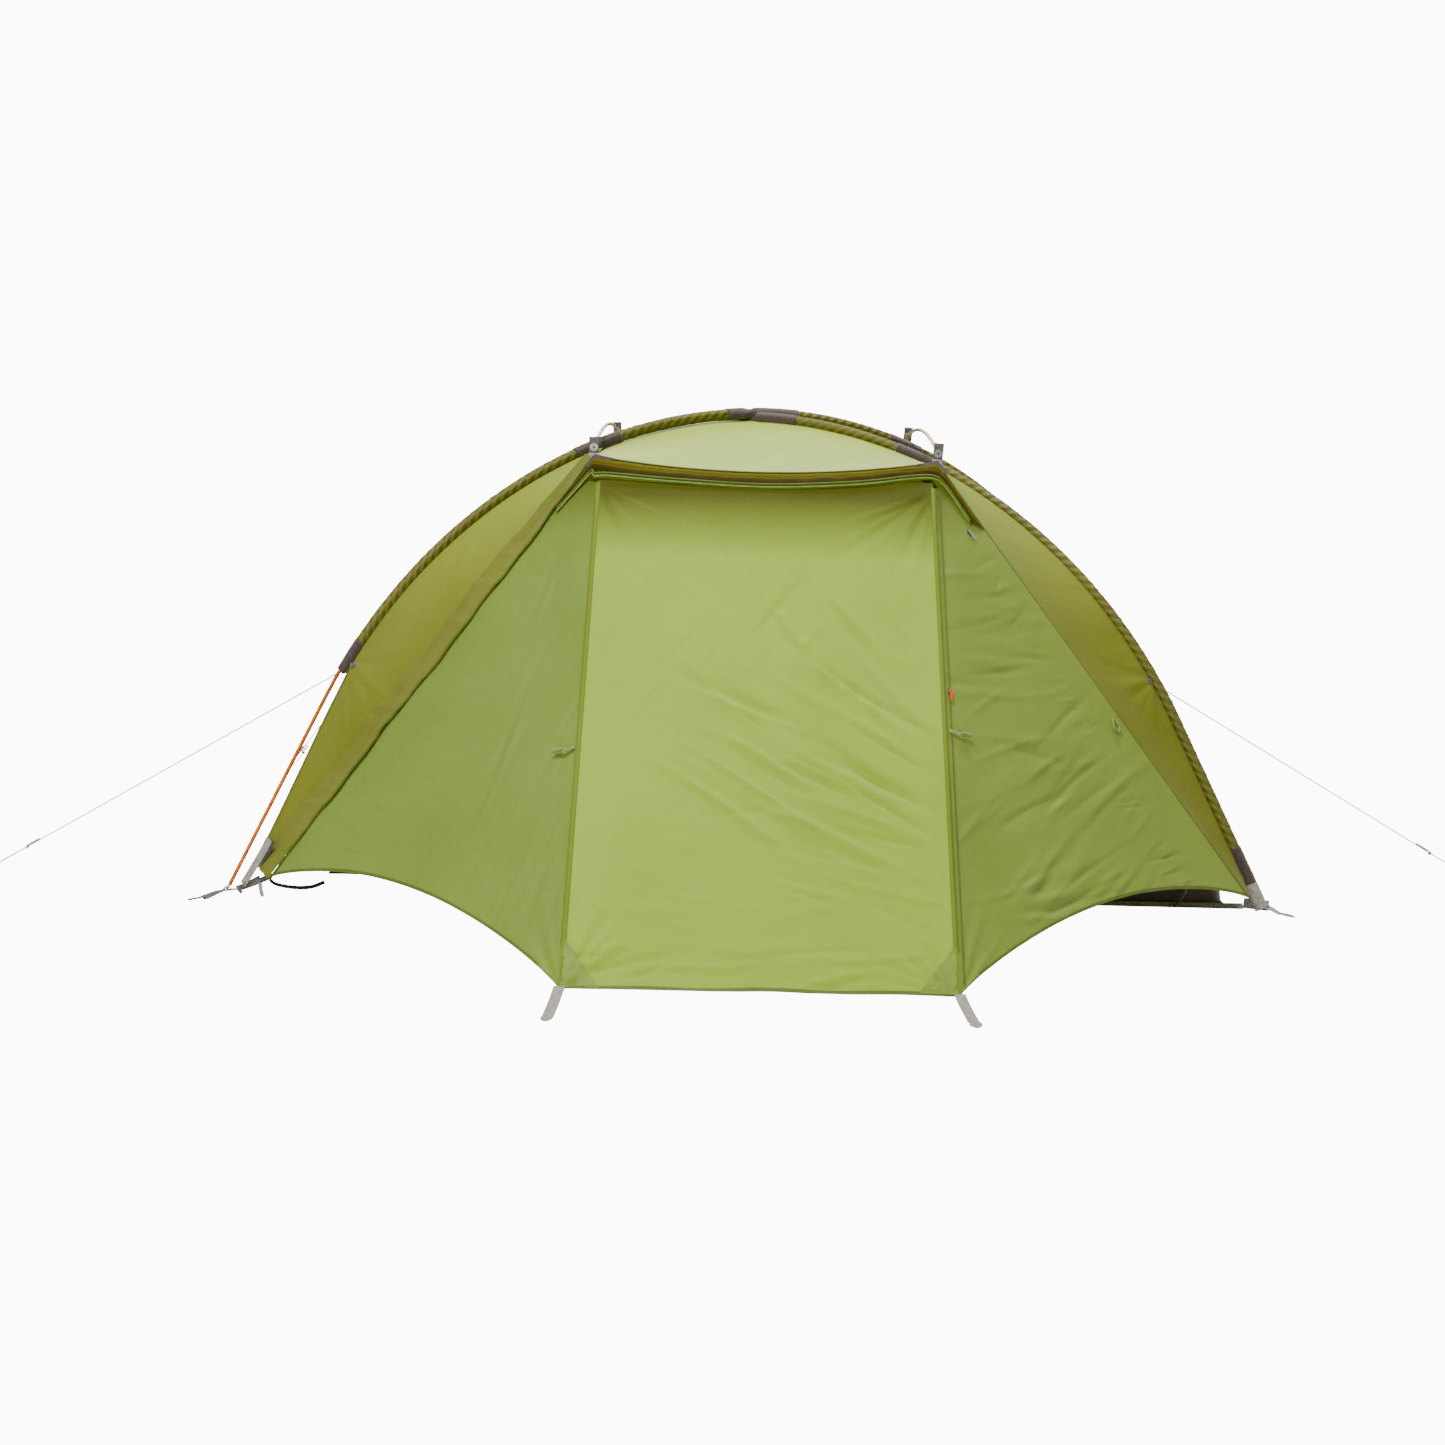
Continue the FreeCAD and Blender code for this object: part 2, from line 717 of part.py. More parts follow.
def seam_place(side, height, aside_by, off):
    """On a porch seam at a height: Z out of the wing, Y up along the seam."""
    low, high = door_corner(side, True), door_corner(side, False)
    share = (height - low.z) / (high.z - low.z)
    out = wing_out(side)
    upward = unit(high - low)
    aside = unit(upward.cross(out))
    if aside.x * side < 0:
        aside = aside * -1
    base = low + (high - low) * share + aside * aside_by + out * off
    return frame_at(base, upward, out)


def frame_at(base, y_axis, z_axis):
    """Placement from a point, its Y and its Z directions."""
    z_dir = unit(z_axis)
    y_dir = unit(y_axis - z_dir * y_axis.dot(z_dir))
    x_dir = y_dir.cross(z_dir)
    return Placement(base, Rotation(x_dir, y_dir, z_dir, "ZXY"))


SLIDER_HEIGHT = 545.0
SLIDER_OFF = 3.9
SLOPE_SLIDER_DOWN = 128.0


def make_sliders():
    """A slider is a waisted block; its pull is a thin tab with a slot, hung on the slider's bow."""
    slider = cut_out("slider_blank", [(-5, -6), (5, -6), (6, 3), (3, 7), (-3, 7), (-6, 3)], 3.4)
    slot = [(-1.4, -6), (1.4, -6), (1.4, -2), (-1.4, -2)]
    pull = cut_out("pull_blank", [(-3, -27), (3, -27), (3.4, 0), (-3.4, 0)], 1.2, slot)
    place = seam_place(RIGHT, SLIDER_HEIGHT, 15, SLIDER_OFF)
    lift = Placement(Vector(0, 4, 4.2), Rotation())
    side_slider = placed("side_slider", slider, [place])[0]
    side_pull = placed("side_pull", pull, [place.multiply(lift)])[0]
    front_and_rear("side_slider", side_slider)
    front_and_rear("side_pull", side_pull)
    head, corner = door_corner(RIGHT, False), wing_corner(RIGHT)
    slope = unit(corner - head)
    out = wing_out(RIGHT)
    base = head + slope * SLOPE_SLIDER_DOWN + out * 3
    slope_place = frame_at(base, slope * -1, out)
    top_slider = placed("top_slider", slider, [slope_place])[0]
    both("top_sliders", [top_slider])
    top_pull = placed("top_pull", pull, [slope_place.multiply(lift)])[0]
    front_and_rear("top_pull", top_pull)


# ---------------------------------------------------------------- tabs, loops and straps

def make_eave_tabs():
    """Webbing tabs that take the eave pole tips, each with a metal eyelet."""
    outline = [(-11, -13), (11, -13), (11, 10), (6, 15), (-6, 15), (-11, 10)]
    hole = [(6.2 * math.cos(a * math.pi / 8), 6.2 * math.sin(a * math.pi / 8)) for a in range(16)]
    tab = cut_out("eave_tab_blank", outline, 2.0, hole, "webbing")
    section = [(3.4, -0.9), (9, -0.9), (9, 0), (6, 0), (6, 1.6), (9, 1.6), (9, 2.5), (3.4, 2.5)]
    eyelet = turned("eyelet_blank", section)
    tabs, eyelets = [], []
    for number, side in enumerate((LEFT, RIGHT), 1):
        base = Vector(side * dim("eave_x"), -dim("eave_tip_y"), dim("eave_tip_z"))
        place = frame_at(base, Vector(0, 0.16, 1), Vector(0, -1, 0.16))
        tabs += placed(f"eave_tab_{number}", tab, [place])
        eyelets += placed(f"eyelet_{number}", eyelet, [place])
    both("eave_tabs", tabs)
    both("eyelets", eyelets)


def guy_tab_root(side):
    """Where a guy tab is sewn on the sleeve."""
    bow = MIDDLE
    return on_bow(bow, side, FRONT, bow.at_reach(0.79), -23)


GUY_ENDS = {"front_left": Vector(-1832, -500, 2.5), "front_right": Vector(1772, -420, 2.5),
            "rear_left": Vector(-1385, 1000, 2.5)}
GUY_SIDES = {"front_left": (LEFT, FRONT), "front_right": (RIGHT, FRONT), "rear_left": (LEFT, REAR)}
GUY_TAB_LENGTH = 34.0


def guy_start(side, depth):
    """The hole in the guy tab, in the guyline's direction from the sleeve."""
    root = guy_tab_root(side)
    return Vector(root.x + side * GUY_TAB_LENGTH, depth * -root.y, root.z - 16)


def make_guy_tabs():
    tabs = []
    for number, side in enumerate((LEFT, RIGHT), 1):
        root, end = guy_tab_root(side), guy_start(side, FRONT)
        tabs.append(strap(f"guy_tab_{number}", [root, (root + end) / 2, end - Vector(side * 5, 0, -2)],
                          Vector(0, 1, 0), 14, dim("webbing")))
    both("guy_tabs", tabs)


def rounded_path(points, share=0.45):
    """Straight runs joined by tangent arcs as large as their runs allow."""
    edges = []
    start = points[0]
    for before, corner, after in zip(points, points[1:], points[2:]):
        into, away = unit(corner - before), unit(after - corner)
        turn = into.getAngle(away)
        cut = share * min((corner - before).Length, (after - corner).Length)
        radius = cut / math.tan(turn / 2)
        first, last = corner - into * cut, corner + away * cut
        bisector = unit(away - into)
        centre = corner + bisector * (radius / math.cos(turn / 2))
        middle = centre - bisector * radius
        edges.append(Part.LineSegment(start, first).toShape())
        edges.append(Part.Arc(first, middle, last).toShape())
        start = last
    edges.append(Part.LineSegment(start, points[-1]).toShape())
    return Part.Wire(edges)


RETURN_LENGTH = {"front_left": 112.0, "front_right": 200.0, "rear_left": 70.0}
PEG_TURN = 14.0


def guyline_points(name):
    """Tab, out to the peg, round it, and back to the tensioner."""
    side, depth = GUY_SIDES[name]
    start, end = guy_start(side, depth), GUY_ENDS[name]
    line = unit(end - start)
    across = unit(line.cross(UP)) * PEG_TURN
    return [start + line * 6, end, end + across, end + across - line * RETURN_LENGTH[name]]


def make_guylines():
    """Each guyline is tied at its tab, goes round its peg and returns to its tensioner."""
    knots, frames = [], []
    for name in GUY_ENDS:
        points = guyline_points(name)
        path = rounded_path(points)
        print(name, "length", round(path.Length))
        node(f"guyline_{name}", sweep(f"guyline_{name}", path, "cord_width"))
        along = unit(points[1] - points[0])
        knots.append(knot(f"knot_top_{name}", points[0], along))
        knots.append(knot(f"knot_low_{name}", points[3], along))
        frames.append(tensioner(name, points, along))
    node("guyline_knots", group("guyline_knots", knots))
    node("tensioners", group("tensioners", frames))


def knot(name, point, along):
    ball = DOC.addObject("Part::Sphere", name)
    ball.Radius = 3.2
    ball.Placement = Placement(point - along * 2.2, Rotation(UP, along))
    return ball


TENSIONER_LENGTH = 34.0


def tensioner(name, points, along):
    """A flat open frame on both strands: two side bars and a bridge at each end."""
    aside = unit(points[2] - points[1])
    up = unit(aside.cross(along))
    place = frame_at(points[3] - along * (TENSIONER_LENGTH / 2 + 6) - aside * (PEG_TURN / 2), along, up)
    half, wide = TENSIONER_LENGTH / 2, 10.5
    outer = [(-wide, -half), (wide, -half), (wide, half), (-wide, half)]
    window = [(-wide + 3, -half + 4), (wide - 3, -half + 4), (wide - 3, half - 4), (-wide + 3, half - 4)]
    base = cut_out(f"tensioner_{name}", outer, 3.0, window)
    lift = Placement(Vector(0, 0, dim("cord_width") / 2 + 0.3), Rotation())
    return placed(f"tensioner_{name}_at", base, [place.multiply(lift)])[0]


def stake_loop(name, points, across, width):
    """A webbing loop on the ground that ends in a folded triangle with a hole for the peg."""
    body = strap(f"{name}_strap", points, across, width, dim("webbing"))
    end = Vector(points[-1])
    along = unit(end - Vector(points[-2]))
    half = width / 2
    outline = [(-half, -1), (half, -1), (half + 3, 22), (0, 44), (-half - 3, 22)]
    hole = [(-5.5, 10), (5.5, 10), (5.5, 20), (0, 28), (-5.5, 20)]
    fold = cut_out(f"{name}_fold_blank", outline, 2.6, hole)
    side = Vector(along.y, -along.x, 0)
    place = Placement(Vector(end.x, end.y, 0.4), Rotation(side, along, UP, "ZXY"))
    joined = DOC.addObject("Part::Fuse", f"{name}_loop")
    joined.Base = body
    joined.Tool = placed(f"{name}_fold", fold, [place])[0]
    return joined


def make_stake_loops():
    """Ground loops at the pole feet and at the porch's corners."""
    y_hem, wide = -dim("porch_y"), dim("webbing_width")
    ground = 0.6
    corner_left = [Vector(-396, y_hem - 4, 3), Vector(-398, y_hem - 60, ground),
                   Vector(-403, y_hem - 205, ground)]
    corner_right = [Vector(398, y_hem - 4, 3), Vector(400, y_hem - 60, ground),
                    Vector(409, y_hem - 190, ground)]
    foot_left = [Vector(-1226, -672, ground), Vector(-1240, -700, ground), Vector(-1262, -736, ground)]
    foot_right = [Vector(1180, -640, ground), Vector(1188, -660, ground), Vector(1203, -684, ground)]
    front_and_rear("door_stake_loop", stake_loop("door_loop", corner_left, Vector(1, 0, 0), wide))
    corner = stake_loop("corner_loop", corner_right, Vector(1, 0, 0), wide)
    left = stake_loop("foot_loop_left", foot_left, Vector(0.86, -0.5, 0), 20)
    right = stake_loop("foot_loop_right", foot_right, Vector(0.88, 0.47, 0), 20)
    both("stake_loops", [corner, left, right])


def make_base_straps():
    """Webbing along the base on the right, and the left corner's tension strap."""
    wide = dim("webbing_width")
    base = strap("base_strap", [Vector(520, -612, 0.6), Vector(820, -612, 0.6), Vector(1120, -618, 0.6)],
                 Vector(0, 1, 0), wide, dim("webbing"))
    down = [Vector(-1146, -664, 112), Vector(-1176, -664, 62), Vector(-1196, -662, 22)]
    pull = strap("corner_strap", down, Vector(0, 1, 0), 18, dim("webbing"))
    hem = strap("hem_strap", [Vector(-1100, -650, 1), Vector(-1145, -655, 1), Vector(-1185, -660, 1)],
                Vector(0, 1, 0), 14, dim("webbing"))
    both("base_straps", [base, pull, hem])


def make_ladder_locks():
    """Buckles on the left corners' tension straps."""
    half, wide = 17.0, 12.0
    outer = [(-wide, -half), (wide, -half), (wide, half), (-wide, half)]
    inner_wide, inner_half = wide - 3.5, half - 5
    window = [(-inner_wide, -inner_half), (inner_wide, -inner_half),
              (inner_wide, inner_half), (-inner_wide, inner_half)]
    buckle = cut_out("ladder_lock_blank", outer, 4.0, window)
    bar = block("ladder_lock_bar", 2 * wide, 4, 4, Placement(Vector(0, 0, 2), Rotation()))
    whole = DOC.addObject("Part::Fuse", "ladder_lock_whole")
    whole.Base, whole.Tool = buckle, bar
    DOC.recompute()
    place = frame_at(Vector(-1163, -662, 27), Vector(1, 0, 0.5), Vector(-0.5, 0, 1))
    both("ladder_locks", placed("ladder_lock", whole, [place]))


def make_pole_pockets():
    """Grey pockets that hold the right-hand pole tips, and the left tips' webbing seats."""
    right = MIDDLE.length
    path = bow_path(MIDDLE, RIGHT, FRONT, right - 62, right + 1)
    pocket = tube("pocket_right", path, "patch_width", "sleeve_bore")
    place = Placement(on_bow(MIDDLE, LEFT, FRONT, right) - UP * 10.4, Rotation())
    seat = block("pocket_left", 30, 30, 3, place)
    both("pole_pockets", [pocket, seat])


def make_ties():
    """Toggle ties that hold a rolled door, and the ring for a rolled wing."""
    for side, stem in ((LEFT, "left_tie"), (RIGHT, "right_tie")):
        place = seam_place(side, 425 if side == LEFT else 470, 25, FABRIC + 0.4)
        aside = place.Rotation.multVec(Vector(1, 0, 0))
        if aside.x * side < 0:
            aside = aside * -1
        out = place.Rotation.multVec(UP)
        upward = place.Rotation.multVec(Vector(0, 1, 0))
        base = place.Base
        points = [base, base + aside * 26 + out * 3, base + aside * 54 + out * 1]
        half = upward * 4
        low, high = [p - half for p in points], [p + half for p in points]
        ribbon = feature(f"{stem}_ribbon", strip(low, high, out, 1.2))
        toggle = DOC.addObject("Part::Cylinder", f"{stem}_toggle")
        toggle.Radius, toggle.Height = 2.6, 22
        toggle.Placement = Placement(base + aside * 58 + out * 4 - upward * 11, Rotation(UP, upward))
        pieces = [ribbon, toggle]
        if side == LEFT:
            front_and_rear(stem, group(f"{stem}_front", pieces))
        else:
            ring = DOC.addObject("Part::Torus", "tie_ring")
            ring.Radius1, ring.Radius2 = 14, 1.6
            head, corner = door_corner(RIGHT, False), wing_corner(RIGHT)
            hang = head + (corner - head) * 0.56 + out * 4.2 - UP * 26
            ring.Placement = Placement(hang, Rotation(UP, out))
            both("tie_backs", pieces + [ring])


# ---------------------------------------------------------------- inner tent

def make_groundsheet():
    """A tray: the floor and its low upstand."""
    half_x, half_y, skin = dim("floor_half_x"), dim("floor_half_y"), FABRIC
    tray = DOC.addObject("Part::Box", "tray_outer")
    bind(tray, Length=f"{SHEET.Name}.floor_half_x * 2", Width=f"{SHEET.Name}.floor_half_y * 2",
         Height=f"{SHEET.Name}.floor_wall")
    tray.Placement = Placement(Vector(-half_x, -half_y, 0), Rotation())
    inside = DOC.addObject("Part::Box", "tray_inside")
    bind(inside, Length=f"{SHEET.Name}.floor_half_x * 2 - 2 * {SHEET.Name}.fabric",
         Width=f"{SHEET.Name}.floor_half_y * 2 - 2 * {SHEET.Name}.fabric",
         Height=f"{SHEET.Name}.floor_wall")
    inside.Placement = Placement(Vector(skin - half_x, skin - half_y, skin), Rotation())
    floor = DOC.addObject("Part::Cut", "groundsheet")
    floor.Base, floor.Tool = tray, inside
    node("groundsheet", floor)


INNER_TOP = 110.0


def inner_rail(side, depth, low_z, count, top=INNER_TOP):
    """The inner tent's corner seam: under the long pole, down to the groundsheet's wall."""
    inset = dim("inner_gap")
    end = MIDDLE.length
    while on_bow(MIDDLE, side, depth, end, inset).z < low_z:
        end -= 1
    step = (end - top) / (count - 1)
    points = [on_bow(MIDDLE, side, depth, top + i * step, inset) for i in range(count)]
    return points


def make_inner():
    """Breathable walls under the poles; the long sides have a door each."""
    low, count = dim("floor_wall") + 2, 9
    left = inner_rail(LEFT, FRONT, low, count)
    right = inner_rail(RIGHT, FRONT, low, count)
    outward = Vector(0, -1, 0.5)
    jamb_left = [Vector(max(p.x, -430), p.y, p.z) for p in left]
    jamb_right = [Vector(min(p.x, 380), p.y, p.z) for p in right]
    head = 3
    side_left = feature("inner_side_left", strip(left[head:], jamb_left[head:], outward, FABRIC))
    side_right = feature("inner_side_right", strip(jamb_right[head:], right[head:], outward, FABRIC))
    top = feature("inner_top", strip(left[:head + 1], right[:head + 1], outward, FABRIC))
    front_and_rear("inner_wall", group("inner_wall_front", [side_left, side_right, top]))
    gap = Vector(4, 0, 0)
    drop = Vector(0, -2, -5)
    door_left = [p + gap for p in jamb_left[head:]]
    door_right = [p - gap for p in jamb_right[head:]]
    door_left[0], door_right[0] = door_left[0] + drop, door_right[0] + drop
    both("inner_doors", [feature("inner_door_leaf", strip(door_left, door_right, outward, FABRIC))])
    ends = []
    for side in (LEFT, RIGHT):
        front = [p + Vector(0, 5, 0) for p in inner_rail(side, FRONT, low, count)]
        rear = [Vector(p.x, -p.y, p.z) for p in front]
        ends.append(feature(f"inner_end_{side + 2}", strip(front, rear, Vector(side, 0, 0.5), FABRIC)))
    node("inner_ends", group("inner_ends", ends))


def make_inner_hooks():
    """Toggles on short elastics that hang the inner tent under the pole seams."""
    pieces = []
    for side in (LEFT, RIGHT):
        for share in (0.18, 0.45, 0.7):
            distance = MIDDLE.at_reach(share)
            top = on_bow(MIDDLE, side, FRONT, distance, SEAM_INSET + 6)
            low = on_bow(MIDDLE, side, FRONT, distance, dim("inner_gap") - 5)
            hook = DOC.addObject("Part::Cylinder", f"hook_{side + 2}_{int(share * 100)}")
            hook.Radius, hook.Height = 1.5, (top - low).Length
            hook.Placement = Placement(low, Rotation(UP, top - low))
            pieces.append(hook)
    both("inner_hooks", pieces)


# ---------------------------------------------------------------- build and write

def build():
    make_long_poles()
    make_eave_poles()
    make_inserts()
    make_shock_cords()
    make_pole_tips()
    make_sleeves()
    make_patches()
    make_crown_patch()
    make_roof()
    make_canopies()
    make_ends()
    make_door()
    make_wings()
    make_hoods()
    make_storm_flaps()
    make_zips()
    make_sliders()
    make_eave_tabs()
    make_guy_tabs()
    make_guylines()
    make_stake_loops()
    make_base_straps()
    make_ladder_locks()
    make_pole_pockets()
    make_ties()
    make_groundsheet()
    make_inner()
    make_inner_hooks()
    DOC.recompute()


def check():
    """Every object has to be up to date, and every sub-part a valid closed shape."""
    for obj in DOC.Objects:
        if "Invalid" in obj.State or "Error" in obj.State:
            raise RuntimeError(f"{obj.Name} did not compute")
    for label, obj in NODES.items():
        shape = obj.Shape
        if shape.isNull() or not shape.isValid() or not shape.Solids:
            raise RuntimeError(f"{label} has no valid solid")
        if min(solid.Volume for solid in shape.Solids) <= 0:
            raise RuntimeError(f"{label} has an inside-out solid")


def write():
    os.makedirs("parts", exist_ok=True)
    for label, obj in NODES.items():
        obj.Shape.exportStep(f"parts/{label}.step")


build()
check()
write()
print(len(NODES), "nodes")
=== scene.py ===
"""Looks of the dome tent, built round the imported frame.

Metres, +X to the right seen from the front porch, +Y to the rear, +Z up. The rear porch
is the front one turned over in Y, so most pieces are shaped at the front and then faced.
"""
import math

import bpy
import numpy as np
from mathutils import Matrix, Vector


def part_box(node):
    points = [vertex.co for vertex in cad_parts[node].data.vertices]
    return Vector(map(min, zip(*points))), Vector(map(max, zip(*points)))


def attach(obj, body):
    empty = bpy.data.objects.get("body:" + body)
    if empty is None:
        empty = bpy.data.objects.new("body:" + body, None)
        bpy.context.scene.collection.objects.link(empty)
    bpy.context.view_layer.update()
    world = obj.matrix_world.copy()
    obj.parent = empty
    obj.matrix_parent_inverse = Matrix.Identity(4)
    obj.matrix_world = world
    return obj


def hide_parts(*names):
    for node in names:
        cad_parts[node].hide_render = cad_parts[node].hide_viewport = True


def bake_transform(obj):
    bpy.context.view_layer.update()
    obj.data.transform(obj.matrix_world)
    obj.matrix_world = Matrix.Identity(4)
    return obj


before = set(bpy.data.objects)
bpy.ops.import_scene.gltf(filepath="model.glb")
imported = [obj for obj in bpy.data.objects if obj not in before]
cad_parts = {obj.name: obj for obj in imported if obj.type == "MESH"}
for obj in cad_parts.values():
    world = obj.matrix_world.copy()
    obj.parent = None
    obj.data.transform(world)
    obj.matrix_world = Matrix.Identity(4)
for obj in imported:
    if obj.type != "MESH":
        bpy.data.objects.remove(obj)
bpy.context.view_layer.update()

FRONT, REAR = -1, 1
LEFT, RIGHT = -1, 1
WORD = {FRONT: "front", REAR: "rear"}
HAND = {LEFT: "left", RIGHT: "right"}
SWING = {FRONT: "front_door", REAR: "rear_door"}
FOLD = {FRONT: "front_wing", REAR: "rear_wing"}
UP = np.array([0.0, 0.0, 1.0])

# The long poles: an arc over the crown, then straight legs to the feet.
CROWN_X, CROWN_Z = -0.025, 1.100
FOOT_X, FOOT_Y, FOOT_Z = 1.195, 0.650, 0.012
SWEEP = math.radians(61.25)
CROSSING_GAP = 0.011
REACH = math.hypot(FOOT_X, FOOT_Y)
SLEEVE_FROM = 0.075
BARE_SHARE, COVERED_SHARE = 0.80, 0.947
SLEEVE_SAG = 0.0065

# The eave poles' tips and the porch.
EAVE_X, EAVE_TIP_Y, EAVE_TIP_Z = 0.395, 0.520, 1.030
DOOR_FOOT = np.array([0.395, -1.450, 0.002])
DOOR_HEAD = np.array([0.380, -0.600, 0.955])
WING_FOOT = np.array([1.122, -0.713, 0.044])
HOOD_CORNER = np.array([0.392, -0.545, 1.010])
HEM_RISE = 0.108
CELL = 0.0065


# ---------------------------------------------------------------- numbers

def at(*values):
    return np.array(values, float)


def unit(vector):
    return np.asarray(vector, float) / np.linalg.norm(vector)


def smooth(low, high, value):
    """0 below low, 1 above high, eased between."""
    share = np.clip((value - low) / (high - low), 0, 1)
    return share * share * (3 - 2 * share)


def faced(points, depth):
    """Points shaped at the front, turned over to the rear if asked."""
    return np.asarray(points, float) * at(1, -depth, 1)


def sided(point, side):
    """A right-hand point, or its left-hand twin."""
    return point * at(side, 1, 1)


def line(start, end, count):
    share = np.linspace(0, 1, count)[:, None]
    return start + (end - start) * share


def dip(points, sag):
    """A row of points that sags between its ends."""
    share = np.linspace(0, 1, len(points))[:, None]
    return points + at(*sag) * 4 * share * (1 - share)


def cells(length, size=CELL):
    return max(3, int(round(length / size)) + 1)


def length_of(points):
    return float(np.linalg.norm(np.diff(points, axis=0), axis=1).sum())


def resampled(points, count):
    """The same line with evenly spaced points."""
    along = np.concatenate([[0], np.cumsum(np.linalg.norm(np.diff(points, axis=0), axis=1))])
    places = np.linspace(0, along[-1], count)
    return np.stack([np.interp(places, along, points[:, k]) for k in range(3)], axis=1)


def curve(points, count):
    """A smooth line through a few points, by Catmull and Rom's rule."""
    points = np.asarray(points, float)
    ends = np.vstack([2 * points[0] - points[1], points, 2 * points[-1] - points[-2]])
    share = np.linspace(0, len(points) - 1 - 1e-9, 12 * len(points))
    step = share.astype(int)
    t = (share - step)[:, None]
    before, start, end, after = (ends[step + k] for k in range(4))
    line_points = 0.5 * (2 * start + (end - before) * t + (2 * before - 5 * start + 4 * end - after) * t ** 2
                         + (3 * start - before - 3 * end + after) * t ** 3)
    return resampled(line_points, count)


# ---------------------------------------------------------------- the poles' bow

class Bow:
    """Half of a long pole in its upright plane."""

    def __init__(self, crown=CROWN_Z):
        drop, tall = crown - FOOT_Z, 1 - math.cos(SWEEP)
        self.crown = crown
        self.radius = (REACH * math.sin(SWEEP) - drop * math.cos(SWEEP)) / (
            math.sin(SWEEP) ** 2 - tall * math.cos(SWEEP))
        self.arc = self.radius * SWEEP
        self.length = self.arc + (drop - self.radius * tall) / math.sin(SWEEP)

    def at(self, distance, inset=0.0):
        distance = np.asarray(distance, float)
        turn = np.minimum(distance, self.arc) / self.radius
        run = np.maximum(distance - self.arc, 0)
        radius = self.radius - inset
        reach = radius * np.sin(turn) + run * np.cos(turn)
        height = self.crown - self.radius + radius * np.cos(turn) - run * np.sin(turn)
        return reach, height

    def at_share(self, share):
        """Distance at which the bow has gone a share of its reach."""
        places = np.linspace(0, self.length, 4000)
        return float(np.interp(share * REACH, self.at(places)[0], places))

    def points(self, side, depth, distance, inset=0.0):
        reach, height = self.at(distance, inset)
        share = reach / REACH
        return np.stack([CROWN_X + side * share * FOOT_X, depth * share * FOOT_Y, height], axis=-1)


BOW = Bow()
UPPER = Bow(CROWN_Z + CROSSING_GAP / 2)
LOWER = Bow(CROWN_Z - CROSSING_GAP / 2)
EAVE_AT = BOW.at_share((EAVE_X - CROWN_X) / FOOT_X)
LEFT_EAVE_AT = BOW.at_share((EAVE_X + CROWN_X) / FOOT_X)
FLY_FOOT = BOW.at_share(0.972)


def bow_of(side, depth):
    """The upper pole runs front left to rear right."""
    return UPPER if side * depth > 0 else LOWER


def eave_at(side):
    return EAVE_AT if side == RIGHT else LEFT_EAVE_AT


def sleeve_end(side):
    return BOW.at_share(BARE_SHARE if side == LEFT else COVERED_SHARE)


# ---------------------------------------------------------------- meshes

def keep(obj, body, replaces=()):
    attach(obj, body)
    if replaces:
        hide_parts(*replaces)
    return obj


def mesh_of(name, points, faces, material, smooth_faces=True):
    mesh = bpy.data.meshes.new(name)
    mesh.from_pydata(np.asarray(points).reshape(-1, 3).tolist(), [], faces)
    mesh.polygons.foreach_set("use_smooth", [smooth_faces] * len(mesh.polygons))
    mesh.update()
    obj = bpy.data.objects.new(name, mesh)
    bpy.context.scene.collection.objects.link(obj)
    obj.data.materials.append(material)
    return obj


def grid_faces(rows, columns, closed):
    faces = []
    wide = columns if closed else columns - 1
    for row in range(rows - 1):
        for column in range(wide):
            after = (column + 1) % columns
            a, b = row * columns + column, row * columns + after
            faces.append((a, b, b + columns, a + columns))
    return faces


def cloth_places(points):
    """How far along the cloth each point is, across and up, in metres."""
    across = np.linalg.norm(np.diff(points, axis=1), axis=2).mean(0)
    upward = np.linalg.norm(np.diff(points, axis=0), axis=2).mean(1)
    u = np.concatenate([[0], np.cumsum(across)])
    v = np.concatenate([[0], np.cumsum(upward)])
    places = np.zeros(points.shape)
    places[..., 0] = u[None, :]
    places[..., 1] = v[:, None]
    return places


def grid(name, points, material, closed=False, thick=0.0, caps=False):
    """A surface of rows and columns of points. Its cloth places steer the weave."""
    rows, columns = points.shape[:2]
    faces = grid_faces(rows, columns, closed)
    if caps:
        faces.append(tuple(range(columns))[::-1])
        faces.append(tuple((rows - 1) * columns + i for i in range(columns)))
    obj = mesh_of(name, points, faces, material)
    layer = obj.data.attributes.new("cloth", "FLOAT_VECTOR", "POINT")
    layer.data.foreach_set("vector", cloth_places(points).astype(np.float32).ravel())
    if thick:
        solid = obj.modifiers.new("thickness", "SOLIDIFY")
        solid.thickness = thick
        solid.offset = 0
    return obj


def joined(name, objects):
    """Several meshes as one piece."""
    bpy.ops.object.select_all(action="DESELECT")
    for obj in objects:
        obj.select_set(True)
    bpy.context.view_layer.objects.active = objects[0]
    bpy.ops.object.join()
    objects[0].name = name
    return objects[0]


def coons(bottom, top, left, right):
    """A surface between four edges; bottom and top run the same way, left and right upward."""
    u = np.linspace(0, 1, len(bottom))[None, :, None]
    v = np.linspace(0, 1, len(left))[:, None, None]
    ruled = (1 - v) * bottom[None] + v * top[None]
    across = (1 - u) * left[:, None] + u * right[:, None]
    corners = ((1 - u) * (1 - v) * bottom[0] + u * (1 - v) * bottom[-1]
               + (1 - u) * v * top[0] + u * v * top[-1])
    return ruled + across - corners


def normals(points):
    across = np.gradient(points, axis=1)
    upward = np.gradient(points, axis=0)
    normal = np.cross(across, upward)
    return normal / np.maximum(np.linalg.norm(normal, axis=2, keepdims=True), 1e-9)


def raised(points, height, outward):
    """Points moved along their surface's outward normal."""
    normal = normals(points)
    if (normal.mean((0, 1)) * outward).sum() < 0:
        normal = -normal
    return points + normal * height[..., None]


def on_plane(points, origin, across, upward):
    """Flat coordinates of a panel's points along two directions, in metres."""
    away = points - origin
    return np.stack([away @ across, away @ upward], axis=-1)


